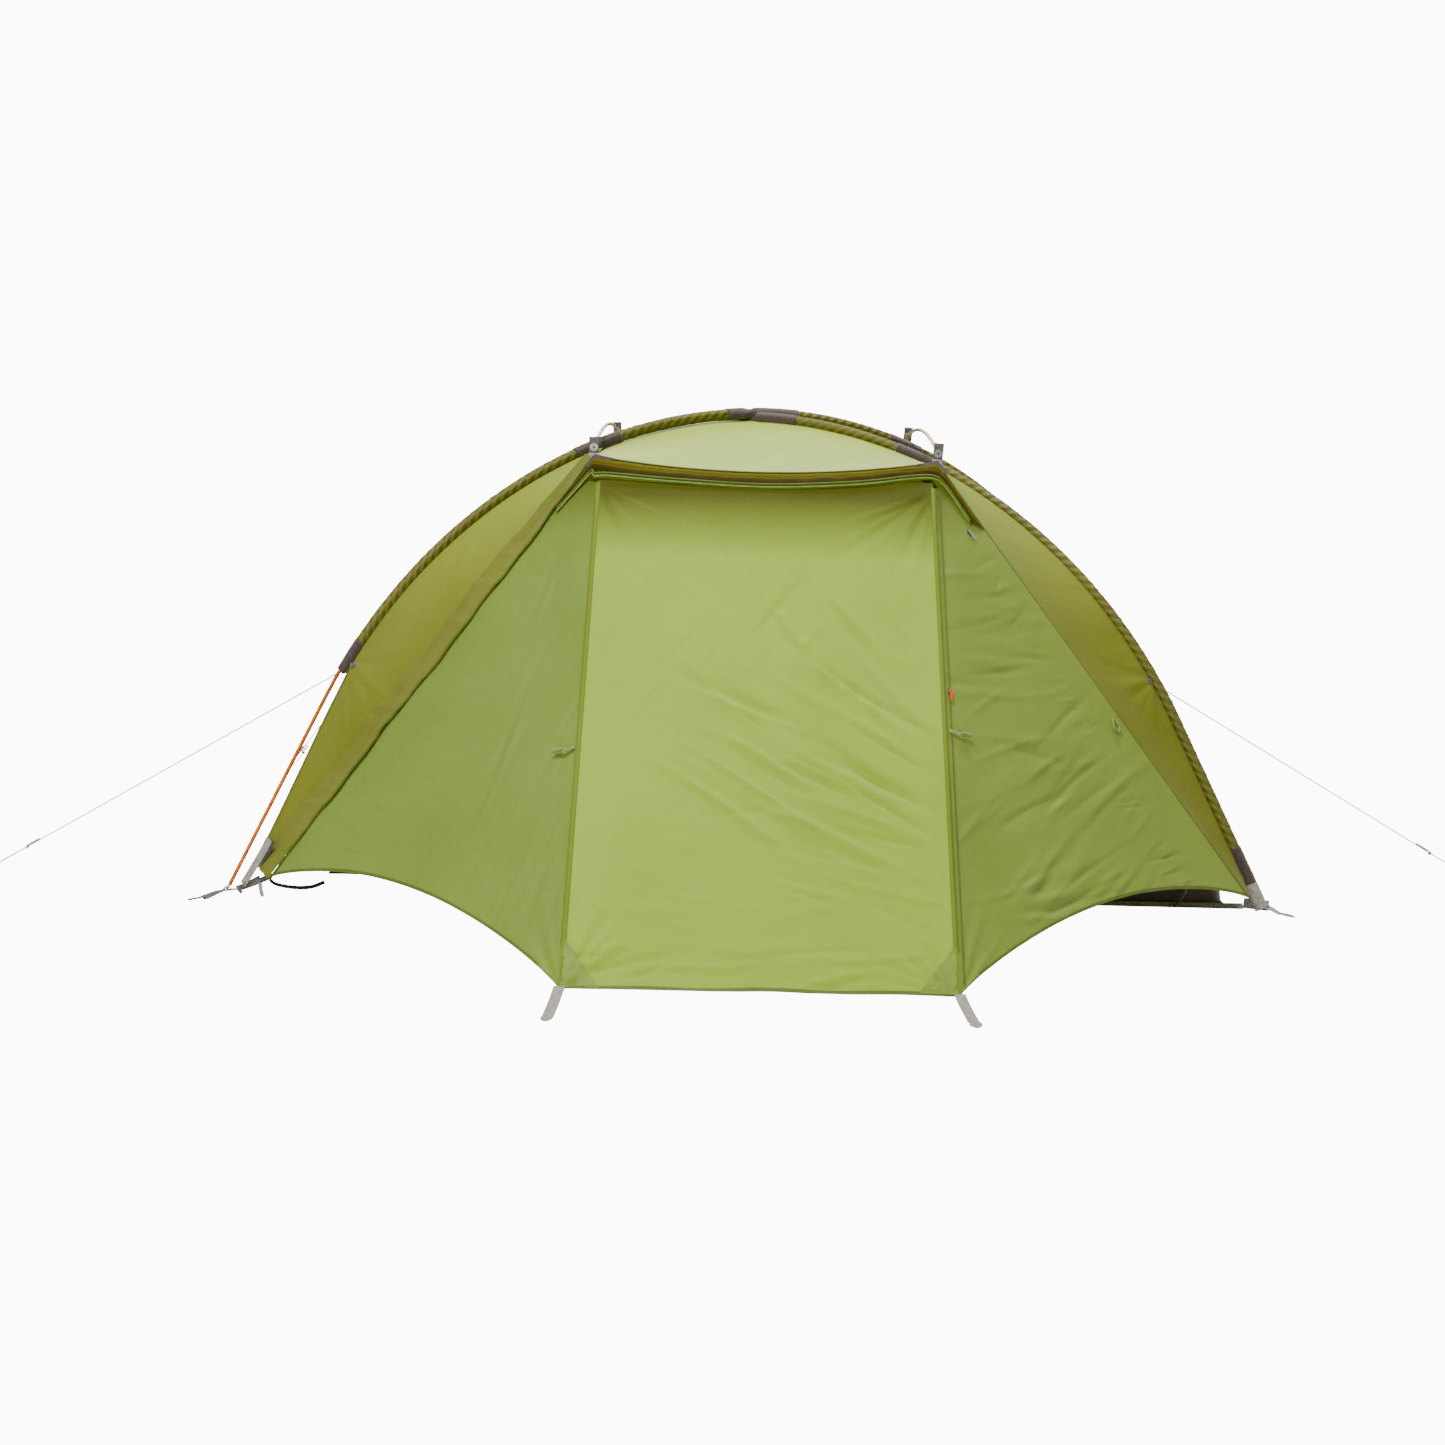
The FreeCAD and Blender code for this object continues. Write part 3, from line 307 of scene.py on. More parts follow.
def rings(name, centres, outs, sides, profile, material, caps=True):
    """A closed tube: at each centre, a ring of (out, side) offsets, rows by columns by two."""
    points = (centres[:, None] + outs[:, None] * profile[..., :1] + sides[:, None] * profile[..., 1:])
    return grid(name, points, material, closed=True, caps=caps)


def frames_along(centres, side_hint):
    """Out and side directions along a line, from a hint for the side."""
    tangent = np.gradient(centres, axis=0)
    tangent = tangent / np.linalg.norm(tangent, axis=1, keepdims=True)
    side = side_hint - tangent * (tangent @ side_hint)[:, None]
    side = side / np.linalg.norm(side, axis=1, keepdims=True)
    return np.cross(side, tangent), side


def tube(name, centres, radius, material, columns=12, side_hint=at(0.1, 0.2, 1)):
    """A round bar along a line; the radius may change along it."""
    outs, sides = frames_along(centres, unit(side_hint))
    angle = np.linspace(0, 2 * math.pi, columns, endpoint=False)
    ring = np.stack([np.cos(angle), np.sin(angle)], axis=-1)
    size = np.broadcast_to(np.asarray(radius, float), (len(centres),))
    return rings(name, centres, outs, sides, ring[None] * size[:, None, None], material)


def strap(name, points, across, width, material, thick=0.0014, count=None, curl=0.0, twist=0.0):
    """Flat webbing along a line: its width lies along one direction, and may curl or twist."""
    centres = curve(points, count or cells(length_of(np.asarray(points, float)), 0.004))
    outs, sides = frames_along(centres, unit(across))
    columns = 9
    share = np.linspace(-0.5, 0.5, columns)
    turn = np.linspace(0, twist, len(centres))[:, None, None]
    side = sides[:, None] * np.cos(turn) + outs[:, None] * np.sin(turn)
    out = outs[:, None] * np.cos(turn) - sides[:, None] * np.sin(turn)
    body = centres[:, None] + side * (share * width)[None, :, None]
    body = body + out * (curl * (1 - (2 * share) ** 2))[None, :, None]
    return grid(name, body, material, thick=thick)


# ---------------------------------------------------------------- folds in cloth

def creases(flat, seed, count, region, lean, spread, long, wide, height):
    """Straight tension folds over a flat panel, each with its own place, lean and size."""
    rng = np.random.default_rng(seed)
    total = np.zeros(flat.shape[:2])
    for _ in range(count):
        centre = rng.uniform(region[0], region[1])
        turn = math.radians(lean + rng.normal(0, spread))
        x, y = flat[..., 0] - centre[0], flat[..., 1] - centre[1]
        along = x * math.cos(turn) + y * math.sin(turn)
        across = y * math.cos(turn) - x * math.sin(turn) + rng.normal(0, 0.35) * along ** 2
        reach = long * rng.uniform(0.5, 1.4)
        half = wide * rng.uniform(0.6, 1.5)
        size = height * rng.uniform(0.3, 1.0) * rng.choice([-1, 1])
        total += size * np.exp(-(across / half) ** 2) * np.exp(-(along / reach) ** 2)
    return total


def fan(flat, seed, corner, low, high, count, near, far, wide, height):
    """Folds that spread out from a corner, between two leans."""
    rng = np.random.default_rng(seed)
    total = np.zeros(flat.shape[:2])
    x, y = flat[..., 0] - corner[0], flat[..., 1] - corner[1]
    away = np.hypot(x, y)
    for number in range(count):
        lean = low + (high - low) * (number + rng.uniform(0.2, 0.8)) / count
        turn = math.radians(lean)
        along = x * math.cos(turn) + y * math.sin(turn)
        across = y * math.cos(turn) - x * math.sin(turn) + rng.normal(0, 0.15) * along ** 2
        half = wide * rng.uniform(0.7, 1.4) * (0.35 + away / far)
        reach = far * rng.uniform(0.6, 1.1)
        fade = smooth(0, near, away) * np.exp(-(along / reach) ** 4) * (along > 0)
        total += height * rng.uniform(0.4, 1.0) * rng.choice([-1, 1]) * np.exp(-(across / half) ** 2) * fade
    return total


def ripple(flat, seed, size, height, count=7):
    """Slow waves in every direction."""
    rng = np.random.default_rng(seed)
    total = np.zeros(flat.shape[:2])
    for _ in range(count):
        turn, phase = rng.uniform(0, 2 * math.pi, 2)
        pitch = size * rng.uniform(0.6, 1.6)
        total += np.sin((flat[..., 0] * math.cos(turn) + flat[..., 1] * math.sin(turn)) * 2 * math.pi / pitch + phase)
    return total * height / count


def pinned(shape, edge=6.0, sides="lrbt"):
    """1 inside a panel, 0 on its sewn edges: l, r, b and t name the edges held."""
    rows, columns = shape
    row, column = np.arange(rows)[:, None], np.arange(columns)[None, :]
    hold = np.ones(shape)
    for word, away in (("l", column), ("r", columns - 1 - column), ("b", row), ("t", rows - 1 - row)):
        if word in sides:
            hold = hold * smooth(0, edge, away)
    return hold


# ---------------------------------------------------------------- materials

def rgb(red, green, blue):
    """A screen colour as the light values that shaders use."""
    values = [c / 255 for c in (red, green, blue)]
    return [c / 12.92 if c <= 0.04045 else ((c + 0.055) / 1.055) ** 2.4 for c in values] + [1.0]


class Nodes:
    """A small helper round one material's node tree."""

    def __init__(self, name):
        self.material = bpy.data.materials.new(name)
        self.material.use_nodes = True
        self.tree = self.material.node_tree
        self.tree.nodes.clear()
        self.output = self.add("ShaderNodeOutputMaterial")

    def add(self, kind, **values):
        new = self.tree.nodes.new(kind)
        for key, value in values.items():
            setattr(new, key, value)
        return new

    def link(self, source, target):
        self.tree.links.new(source, target)

    def set(self, node, **values):
        for key, value in values.items():
            node.inputs[key.replace("_", " ")].default_value = value

    def noise(self, vector, scale, detail=3.0, roughness=0.5):
        new = self.add("ShaderNodeTexNoise")
        self.set(new, Scale=scale, Detail=detail, Roughness=roughness)
        self.link(vector, new.inputs["Vector"])
        return new.outputs["Fac"]

    def bands(self, vector, direction, period):
        """Threads: a wave with one crest in each period, in metres."""
        new = self.add("ShaderNodeTexWave", bands_direction=direction)
        self.set(new, Scale=math.pi / 10 / period)
        self.link(vector, new.inputs["Vector"])
        return new.outputs["Fac"]

    def math(self, operation, first, second):
        new = self.add("ShaderNodeMath", operation=operation)
        for socket, value in zip(new.inputs, (first, second)):
            if isinstance(value, (int, float)):
                socket.default_value = value
            else:
                self.link(value, socket)
        return new.outputs[0]

    def spread(self, value, low, high, from_low=0.3, from_high=0.7):
        new = self.add("ShaderNodeMapRange")
        for key, number in (("From Min", from_low), ("From Max", from_high), ("To Min", low), ("To Max", high)):
            new.inputs[key].default_value = number
        self.link(value, new.inputs["Value"])
        return new.outputs["Result"]

    def mix(self, factor, first, second):
        new = self.add("ShaderNodeMix", data_type="RGBA")
        self.link(factor, new.inputs["Factor"])
        for socket, value in ((new.inputs[6], first), (new.inputs[7], second)):
            if isinstance(value, list):
                socket.default_value = value
            else:
                self.link(value, socket)
        return new.outputs[2]

    def bump(self, height, strength, distance, base=None):
        new = self.add("ShaderNodeBump")
        self.set(new, Strength=strength, Distance=distance)
        self.link(height, new.inputs["Height"])
        if base is not None:
            self.link(base, new.inputs["Normal"])
        return new.outputs["Normal"]

    def principled(self, colour, roughness, normal=None, **values):
        new = self.add("ShaderNodeBsdfPrincipled")
        if isinstance(colour, list):
            new.inputs["Base Color"].default_value = colour
        else:
            self.link(colour, new.inputs["Base Color"])
        if isinstance(roughness, float):
            new.inputs["Roughness"].default_value = roughness
        else:
            self.link(roughness, new.inputs["Roughness"])
        for key, value in values.items():
            new.inputs[key.replace("_", " ")].default_value = value
        if normal is not None:
            self.link(normal, new.inputs["Normal"])
        return new.outputs["BSDF"]

    def finish(self, shader):
        self.link(shader, self.output.inputs["Surface"])
        return self.material


def place(nodes):
    """Where a point is on the object, in metres."""
    return nodes.add("ShaderNodeTexCoord").outputs["Object"]


def cloth_place(nodes):
    """Where a point is on its own cloth, in metres."""
    return nodes.add("ShaderNodeAttribute", attribute_name="cloth").outputs["Vector"]


# A darker copy of a colour, used as painted shade.
def painted_shade_of(colour):
    return [value * 0.55 for value in colour[:3]] + [1.0]


def fabric(name, colour, deep, through, glow=0.3, thread=0.0009, shade=None, rough=0.52, shine=0.3,
           gathers=0.0):
    """Coated nylon: a fine weave, soft crinkles, and light that comes through it.

    shade is (low, high, colour): the cloth takes that colour from one height to another, as painted
    shade on the door and wings where a second layer backs them, and as painted light on the canopy tops.
    """
    nodes = Nodes(name)
    where, cloth = place(nodes), cloth_place(nodes)
    cloud = nodes.noise(where, 3.2, 4.0)
    tint = nodes.mix(nodes.spread(cloud, 0, 1), colour, deep)
    fine = nodes.noise(cloth, 420, 2.0)
    tint = nodes.mix(nodes.spread(fine, 0.0, 0.22), tint, deep)
    # The colour taken by height is painted shade on the door and wings, and painted light on the canopy tops.
    if shade:
        height = nodes.add("ShaderNodeSeparateXYZ")
        nodes.link(where, height.inputs[0])
        layer = nodes.spread(height.outputs["Z"], 0, 1, shade[0], shade[1])
        tint = nodes.mix(layer, tint, shade[2])
    weave = nodes.math("MULTIPLY", nodes.bands(cloth, "X", thread), nodes.bands(cloth, "Y", thread))
    normal = nodes.bump(weave, 0.25, 0.0003)
    if gathers:
        slant = nodes.bands(cloth, "DIAGONAL", gathers)
        normal = nodes.bump(slant, 0.7, 0.003, normal)
        # Painted shade: the gathers' folds darken where their bands dip.
        tint = nodes.mix(nodes.spread(slant, 0.45, 0, 0, 0.6), tint, painted_shade_of(deep))
    normal = nodes.bump(nodes.noise(where, 34, 5.0, 0.55), 0.5, 0.0030, normal)
    roughness = nodes.spread(nodes.noise(where, 12, 3.0), rough - 0.06, rough + 0.08)
    front = nodes.principled(tint, roughness, normal, Sheen_Weight=0.04, Sheen_Roughness=0.5,
                             Specular_IOR_Level=shine)
    back = nodes.add("ShaderNodeBsdfTranslucent")
    back.inputs["Color"].default_value = through
    nodes.link(normal, back.inputs["Normal"])
    both = nodes.add("ShaderNodeMixShader")
    both.inputs[0].default_value = glow
    nodes.link(front, both.inputs[1])
    nodes.link(back.outputs[0], both.inputs[2])
    return nodes.finish(both.outputs[0])


def webbing(name, light, dark, rib=0.0016, rough=0.72):
    """Woven strap: ribs across it, herringbone threads, a worn tone that is paler in places, and painted shade in the
    grooves between the ribs.
    """
    nodes = Nodes(name)
    cloth = cloth_place(nodes)
    ribs = nodes.bands(cloth, "Y", rib)
    slant = nodes.bands(cloth, "DIAGONAL", rib * 1.7)
    weave = nodes.math("ADD", ribs, nodes.math("MULTIPLY", slant, 0.6))
    worn = nodes.noise(cloth, 90, 4.0)
    tint = nodes.mix(nodes.spread(worn, 0, 1), light, dark)
    # Painted shade: the colour darkens where the weave's bump is low, in the grooves.
    tint = nodes.mix(nodes.spread(weave, 0.35, 0.0, 0.0, 1.4), tint, dark)
    normal = nodes.bump(weave, 0.6, 0.0005)
    return nodes.finish(nodes.principled(tint, rough, normal, Sheen_Weight=0.3, Specular_IOR_Level=0.3))


def metal(name, colour, worn, roughness, brushed=0.0012):
    """Anodised or plain metal with fine drawn lines and small handling marks."""
    nodes = Nodes(name)
    where = place(nodes)
    marks = nodes.noise(where, 60, 4.0)
    tint = nodes.mix(nodes.spread(marks, 0, 1, 0.45, 0.75), colour, worn)
    lines = nodes.bands(where, "DIAGONAL", brushed)
    normal = nodes.bump(lines, 0.08, 0.0002)
    gloss = nodes.spread(nodes.noise(where, 25, 2.0), roughness - 0.05, roughness + 0.1)
    return nodes.finish(nodes.principled(tint, gloss, normal, Metallic=1.0))


def plastic(name, colour, shade, roughness=0.42, clear=0.0):
    """Moulded plastic with a faint grain; it may be clear."""
    nodes = Nodes(name)
    where = place(nodes)
    tint = nodes.mix(nodes.spread(nodes.noise(where, 40, 3.0), 0, 1), colour, shade)
    normal = nodes.bump(nodes.noise(where, 900, 2.0), 0.2, 0.0002)
    values = {"Transmission_Weight": clear, "IOR": 1.45, "Specular_IOR_Level": 0.5}
    return nodes.finish(nodes.principled(tint, roughness, normal, **values))


def braid(name, main, fleck, pitch=0.004):
    """Braided cord: diagonal strands, some in a second colour."""
    nodes = Nodes(name)
    where = place(nodes)
    strands = nodes.bands(where, "DIAGONAL", pitch)
    tint = nodes.mix(nodes.spread(strands, 0, 1, 0.35, 0.65), main, fleck)
    normal = nodes.bump(strands, 0.5, 0.0005)
    return nodes.finish(nodes.principled(tint, 0.65, normal, Sheen_Weight=0.2))


def netting(name, colour, hole=0.0016):
    """Insect mesh: round threads with gaps that show what is behind."""
    nodes = Nodes(name)
    cloth = cloth_place(nodes)
    threads = nodes.math("MAXIMUM", nodes.bands(cloth, "X", hole), nodes.bands(cloth, "Y", hole))
    cover = nodes.spread(threads, 0.25, 0.95, 0.5, 0.8)
    solid = nodes.principled(colour, 0.7, nodes.bump(threads, 0.5, 0.0004))
    gap = nodes.add("ShaderNodeBsdfTransparent")
    both = nodes.add("ShaderNodeMixShader")
    nodes.link(cover, both.inputs[0])
    nodes.link(gap.outputs[0], both.inputs[1])
    nodes.link(solid, both.inputs[2])
    return nodes.finish(both.outputs[0])


# Painted shade: the darker olives that the door and the wings take towards their tops, by height.
DOOR_PAINTED_SHADE, WING_PAINTED_SHADE = rgb(72, 74, 0), rgb(78, 82, 4)

# Roof, door, wings, canopies and end panels are one fly cloth. Each panel gets its own copy of the green, lighter on
# the roof and darker on the wings and canopies, for how brightly it is lit: painted light and shade.
ROOF = fabric("fly_roof", rgb(172, 190, 70), rgb(164, 184, 62), rgb(160, 180, 40), 0.30)
DOOR = fabric("fly_door", rgb(149, 174, 56), rgb(139, 166, 48), rgb(142, 163, 40), 0.28,
              shade=(0.800, 0.930, DOOR_PAINTED_SHADE), shine=0.1)
LEFT_WING = fabric("fly_left_wing", rgb(118, 139, 52), rgb(108, 130, 44), rgb(110, 134, 36), 0.22,
                   shade=(0.84, 0.97, WING_PAINTED_SHADE))
RIGHT_WING = fabric("fly_right_wing", rgb(124, 143, 50), rgb(113, 134, 42), rgb(110, 132, 32), 0.22,
                    shade=(0.84, 0.97, WING_PAINTED_SHADE))
# The canopies take a lighter green towards their tops, by height: painted light.
CANOPY = fabric("fly_canopy", rgb(118, 122, 28), rgb(106, 111, 20), rgb(110, 112, 8), 0.28,
                shade=(0.62, 1.0, rgb(140, 154, 48)))
END = fabric("fly_end", rgb(150, 178, 56), rgb(138, 166, 46), rgb(140, 160, 30), 0.28)
SLEEVE = fabric("sleeve_olive", rgb(104, 102, 24), rgb(84, 82, 12), rgb(90, 90, 0), 0.12, rough=0.6, gathers=0.013)
FLAP = fabric("storm_flap_olive", rgb(112, 116, 32), rgb(96, 100, 20), rgb(96, 98, 0), 0.2, rough=0.6)
HOOD = fabric("hood_olive", rgb(96, 88, 0), rgb(84, 76, 0), rgb(120, 108, 0), 0.32, rough=0.7, shine=0.05)
# The hood's lower, turned-under half: a darker copy of the hood's olive, painted shade.
HOOD_PAINTED_SHADE = fabric("hood_underside_painted_shade", rgb(58, 50, 0), rgb(46, 40, 0), rgb(80, 70, 0), 0.2, rough=0.7, shine=0.05)
REINFORCE = fabric("corner_reinforcement", rgb(116, 140, 40), rgb(104, 128, 32), rgb(100, 120, 20), 0.12, rough=0.6)
BINDING = fabric("hem_binding", rgb(84, 98, 16), rgb(70, 84, 10), rgb(70, 84, 0), 0.08, rough=0.6)
TAPE = fabric("seam_tape", rgb(104, 122, 28), rgb(94, 110, 20), rgb(90, 106, 10), 0.12, rough=0.6, shine=0.1)
PIPING = plastic("zip_piping", rgb(104, 124, 44), rgb(84, 104, 32), 0.5)
PATCH = webbing("patch_brown", rgb(66, 50, 38), rgb(44, 32, 24), 0.0012)
TOGGLE = webbing("toggle_green", rgb(118, 138, 46), rgb(84, 100, 28))
GREY = webbing("webbing_grey", rgb(156, 148, 140), rgb(112, 104, 96))
DARK_GREY = webbing("webbing_dark_grey", rgb(92, 84, 78), rgb(58, 52, 48))
BLACK = webbing("webbing_black", rgb(38, 36, 34), rgb(20, 19, 18))
COPPER = metal("pole_anodised", rgb(226, 112, 14), rgb(190, 84, 8), 0.28)
BRONZE = metal("pole_bronze", rgb(176, 138, 112), rgb(146, 110, 86), 0.3)
SILVER = metal("tip_metal", rgb(178, 176, 174), rgb(136, 134, 132), 0.28)
ELASTIC = braid("elastic", rgb(60, 60, 60), rgb(150, 150, 150))
GUYLINE = braid("guyline_red", rgb(176, 60, 34), rgb(150, 104, 88))
KNOT = braid("knot_red", rgb(196, 40, 12), rgb(150, 24, 8), 0.002)
CLEAR = plastic("tensioner_clear", rgb(206, 202, 192), rgb(180, 176, 166), 0.3, 0.35)
BUCKLE = plastic("buckle_dark", rgb(58, 52, 47), rgb(40, 36, 32))
ORANGE = plastic("pull_orange", rgb(228, 84, 24), rgb(196, 62, 14))
PULL_GREY = plastic("pull_grey", rgb(150, 144, 138), rgb(116, 110, 104))
FLOOR_CLOTH = fabric("floor_brown", rgb(84, 66, 54), rgb(70, 54, 43), rgb(50, 38, 28), 0.05, rough=0.45)
CREAM = fabric("inner_cream", rgb(206, 192, 150), rgb(194, 180, 138), rgb(200, 186, 140), 0.45, rough=0.7)
MESH = netting("mesh_dark", rgb(50, 52, 42))


# ---------------------------------------------------------------- camera, floor and light

WHITE = 11.0


def make_camera():
    yaw, pitch, roll = 0.0058, 0.15641, 0.01894
    ahead = at(-math.sin(yaw) * math.cos(pitch), math.cos(yaw) * math.cos(pitch), -math.sin(pitch))
    across = at(math.cos(yaw), math.sin(yaw), 0)
    upward = np.cross(across, ahead)
    right = across * math.cos(roll) + upward * math.sin(roll)
    top = upward * math.cos(roll) - across * math.sin(roll)
    data = bpy.data.cameras.new("camera")
    data.lens = 60.2
    data.sensor_width = 36
    data.clip_end = 60
    camera = bpy.data.objects.new("camera", data)
    bpy.context.scene.collection.objects.link(camera)
    turned = Matrix([list(row) for row in np.stack([right, top, -ahead], axis=1)]).to_4x4()
    camera.matrix_world = Matrix.Translation((-0.0557, -6.0966, 1.2754)) @ turned
    bpy.context.scene.camera = camera


def seen_white(nodes_tree, shader, strength):
    """Add plain white for the camera's own sight, so that pale things look pale."""
    path = nodes_tree.nodes.new("ShaderNodeLightPath")
    white = nodes_tree.nodes.new("ShaderNodeEmission")
    white.inputs["Color"].default_value = (1, 1, 1, 1)
    white.inputs["Strength"].default_value = strength
    both = nodes_tree.nodes.new("ShaderNodeMixShader")
    nodes_tree.links.new(path.outputs["Is Camera Ray"], both.inputs[0])
    nodes_tree.links.new(shader, both.inputs[1])
    nodes_tree.links.new(white.outputs[0], both.inputs[2])
    return both.outputs[0]


def make_stage():
    nodes = Nodes("pale_floor")
    where = place(nodes)
    tint = nodes.mix(nodes.spread(nodes.noise(where, 2.0), 0, 1), rgb(244, 244, 242), rgb(238, 238, 236))
    shader = nodes.principled(tint, 0.9)
    glow = nodes.add("ShaderNodeEmission")
    nodes.set(glow, Strength=WHITE)
    path = nodes.add("ShaderNodeLightPath")
    both = nodes.add("ShaderNodeMixShader")
    nodes.link(path.outputs["Is Camera Ray"], both.inputs[0])
    nodes.link(shader, both.inputs[1])
    nodes.link(glow.outputs[0], both.inputs[2])
    size = 30.0
    corners = [(-size, -size, -0.001), (size, -size, -0.001), (size, size, -0.001), (-size, size, -0.001)]
    floor = mesh_of("floor", corners, [(0, 1, 2, 3)], nodes.finish(both.outputs[0]), False)
    world = bpy.data.worlds.new("studio")
    world.use_nodes = True
    bpy.context.scene.world = world
    tree = world.node_tree
    sky = tree.nodes["Background"]
    sky.inputs["Color"].default_value = (1, 1, 1, 1)
    sky.inputs["Strength"].default_value = 0.40
    output = tree.nodes["World Output"]
    tree.links.new(seen_white(tree, sky.outputs[0], WHITE), output.inputs["Surface"])


def soft_light(name, place_at, towards, size, power):
    data = bpy.data.lights.new(name, "AREA")
    data.size = size
    data.energy = power
    light = bpy.data.objects.new(name, data)
    bpy.context.scene.collection.objects.link(light)
    light.location = place_at
    light.rotation_mode = "QUATERNION"
    light.rotation_quaternion = (Vector(towards) - Vector(place_at)).to_track_quat("-Z", "Y")


def make_lights():
    soft_light("key", (-1.2, -2.9, 4.4), (0, -0.9, 0.4), 1.3, 300)
    soft_light("graze", (0.9, 0.7, 4.2), (0.1, -0.9, 0.5), 1.0, 190)
    soft_light("front", (-2.2, -6.0, 1.6), (0, -0.9, 0.4), 3.0, 90)
    soft_light("back", (-0.5, 5.0, 3.0), (0, 0, 0.5), 3.0, 120)


# ---------------------------------------------------------------- guylines

GUY_ENDS = {
    "front_left": (LEFT, FRONT, at(-1.832, -0.500, 0.0025), 0.112),
    "front_right": (RIGHT, FRONT, at(1.772, -0.420, 0.0025), 0.200),
    "rear_left": (LEFT, REAR, at(-1.385, 1.000, 0.0025), 0.070),
}
GUY_DIAMETER = 0.003
PEG_TURN = 0.014
TURN_RUN = 0.015
GUY_INSET = 0.023


def guy_root(side, depth):
    return BOW.points(side, depth, BOW.at_share(0.79), GUY_INSET)


def guy_route(side, depth, end, back):
    """Tab, out to the peg, round it, and back to the tensioner."""
    start = guy_root(side, depth) + at(side * 0.034, 0, -0.016)
    run = unit(end - start)
    across = unit(np.cross(run, UP)) * PEG_TURN
    return [start + run * 0.006, end - run * TURN_RUN, end, end + across,
            end + across - run * TURN_RUN, end + across - run * back]


def spline(name, points, radius, material):
    data = bpy.data.curves.new(name, "CURVE")
    data.dimensions = "3D"
    data.bevel_depth = radius
    data.bevel_resolution = 3
    data.use_fill_caps = True
    route = data.splines.new("NURBS")
    route.points.add(len(points) - 1)
    for control, point in zip(route.points, points):
        control.co = (*point, 1)
    route.order_u = 3
    route.use_endpoint_u = True
    route.resolution_u = 16
    data.materials.append(material)
    obj = bpy.data.objects.new(name, data)
    bpy.context.scene.collection.objects.link(obj)
    return obj


def knot(name, centre, along, size=0.0022):
    """A small overhand knot: a threefold loop drawn tight."""
    turn = np.linspace(0, 2 * math.pi, 60, endpoint=False)
    loop = np.stack([np.sin(turn) + 2 * np.sin(2 * turn), np.cos(turn) - 2 * np.cos(2 * turn),
                     -1.4 * np.sin(3 * turn)], axis=-1) * size * 0.62
    side = unit(np.cross(along, UP))
    rise = np.cross(side, along)
    centres = centre + loop[:, :1] * side + loop[:, 1:2] * rise + loop[:, 2:] * along
    centres = np.vstack([centres, centres[:1]])
    return tube(name, centres, size * 0.62, KNOT, 8)


def tensioner(name, points, along):
    """A clear runner: two side bars and a bridge at each end."""
    aside = unit(points[3] - points[2])
    rise = unit(np.cross(aside, along))
    middle = points[-1] - along * 0.023 - aside * (PEG_TURN / 2) + rise * 0.003
    half, wide = 0.0145, 0.0085
    corner = np.linspace(0, 2 * math.pi, 48, endpoint=False)
    power = 0.35
    ring = np.stack([np.sign(np.cos(corner)) * np.abs(np.cos(corner)) ** power * wide,
                     np.sign(np.sin(corner)) * np.abs(np.sin(corner)) ** power * half], axis=-1)
    centres = middle + ring[:, :1] * aside + ring[:, 1:] * along
    centres = np.vstack([centres, centres[:1]])
    frame_ring = tube(f"{name}_ring", centres, 0.0019, CLEAR, 10, rise)
    bar = tube(f"{name}_bar", line(middle - aside * wide, middle + aside * wide, 5), 0.0019, CLEAR, 10, rise)
    return joined(name, [frame_ring, bar])


def make_guylines():
    for word, (side, depth, end, back) in GUY_ENDS.items():
        points = guy_route(side, depth, end, back)
        along = unit(points[1] - points[0])
        rope = keep(spline(f"guyline_{word}_cord", points, GUY_DIAMETER / 2, GUYLINE), "root",
                    [f"guyline_{word}"])
        pieces = [keep(knot(f"knot_top_{word}", points[0] - along * 0.002, along), "root", ["guyline_knots"]),
                  keep(knot(f"knot_low_{word}", points[-1] - along * 0.002, along), "root", ()),
                  keep(tensioner(f"tensioner_{word}", points, along), "root", ["tensioners"])]
        evaluated = bpy.data.meshes.new_from_object(bare_copy(rope))


def bare_copy(rope):
    """The rope's line alone, without its thickness."""
    bare = bpy.data.objects.new("bare_line", rope.data.copy())
    bare.data.bevel_depth = 0
    return bare


# ---------------------------------------------------------------- fly: roof, canopies and ends

SEAM_INSET = 0.019


def roof_edge(count):
    return dip(line(sided(HOOD_CORNER, LEFT), HOOD_CORNER, count), (0, -0.006, -0.030))


def roof_back(count):
    """The two seams behind the roof, from the left eave over the crown to the right eave."""
    half = count // 2
    left = BOW.points(LEFT, FRONT, np.linspace(LEFT_EAVE_AT, 0.012, half + 1), SEAM_INSET)
    right = BOW.points(RIGHT, FRONT, np.linspace(0.012, EAVE_AT, half + 1), SEAM_INSET)
    return np.vstack([left[:-1], right])


def make_roof(depth):
    count = 121
    bottom = roof_edge(count)
    top = roof_back(count)
    rows = 56
    ways = coons(bottom, top, line(bottom[0], top[0], rows), line(bottom[-1], top[-1], rows))
    flat = on_plane(ways, at(0, -0.5, 1), at(1, 0, 0), at(0, 1, 0))
    seed = 11 if depth == FRONT else 12
    height = ripple(flat, seed, 0.42, 0.0022)
    height += fan(flat, seed + 1, (-0.392, -0.045), -8, 42, 9, 0.05, 0.30, 0.012, 0.0016)
    height += fan(flat, seed + 2, (0.392, -0.045), 138, 188, 9, 0.05, 0.30, 0.012, 0.0016)
    height = height * pinned(height.shape)
    points = faced(raised(ways, height - 0.006 * pinned(height.shape, 26), UP), depth)
    roof = keep(grid(f"fly_roof_{WORD[depth]}", points, ROOF), "root", [f"roof_{WORD[depth]}"])
    edge = resampled(bottom, 90) + at(0, -0.001, 0.001)
    binding = tube(f"roof_binding_{WORD[depth]}", faced(edge, depth), 0.0022, BINDING, 8)
    keep(binding, "root", ())


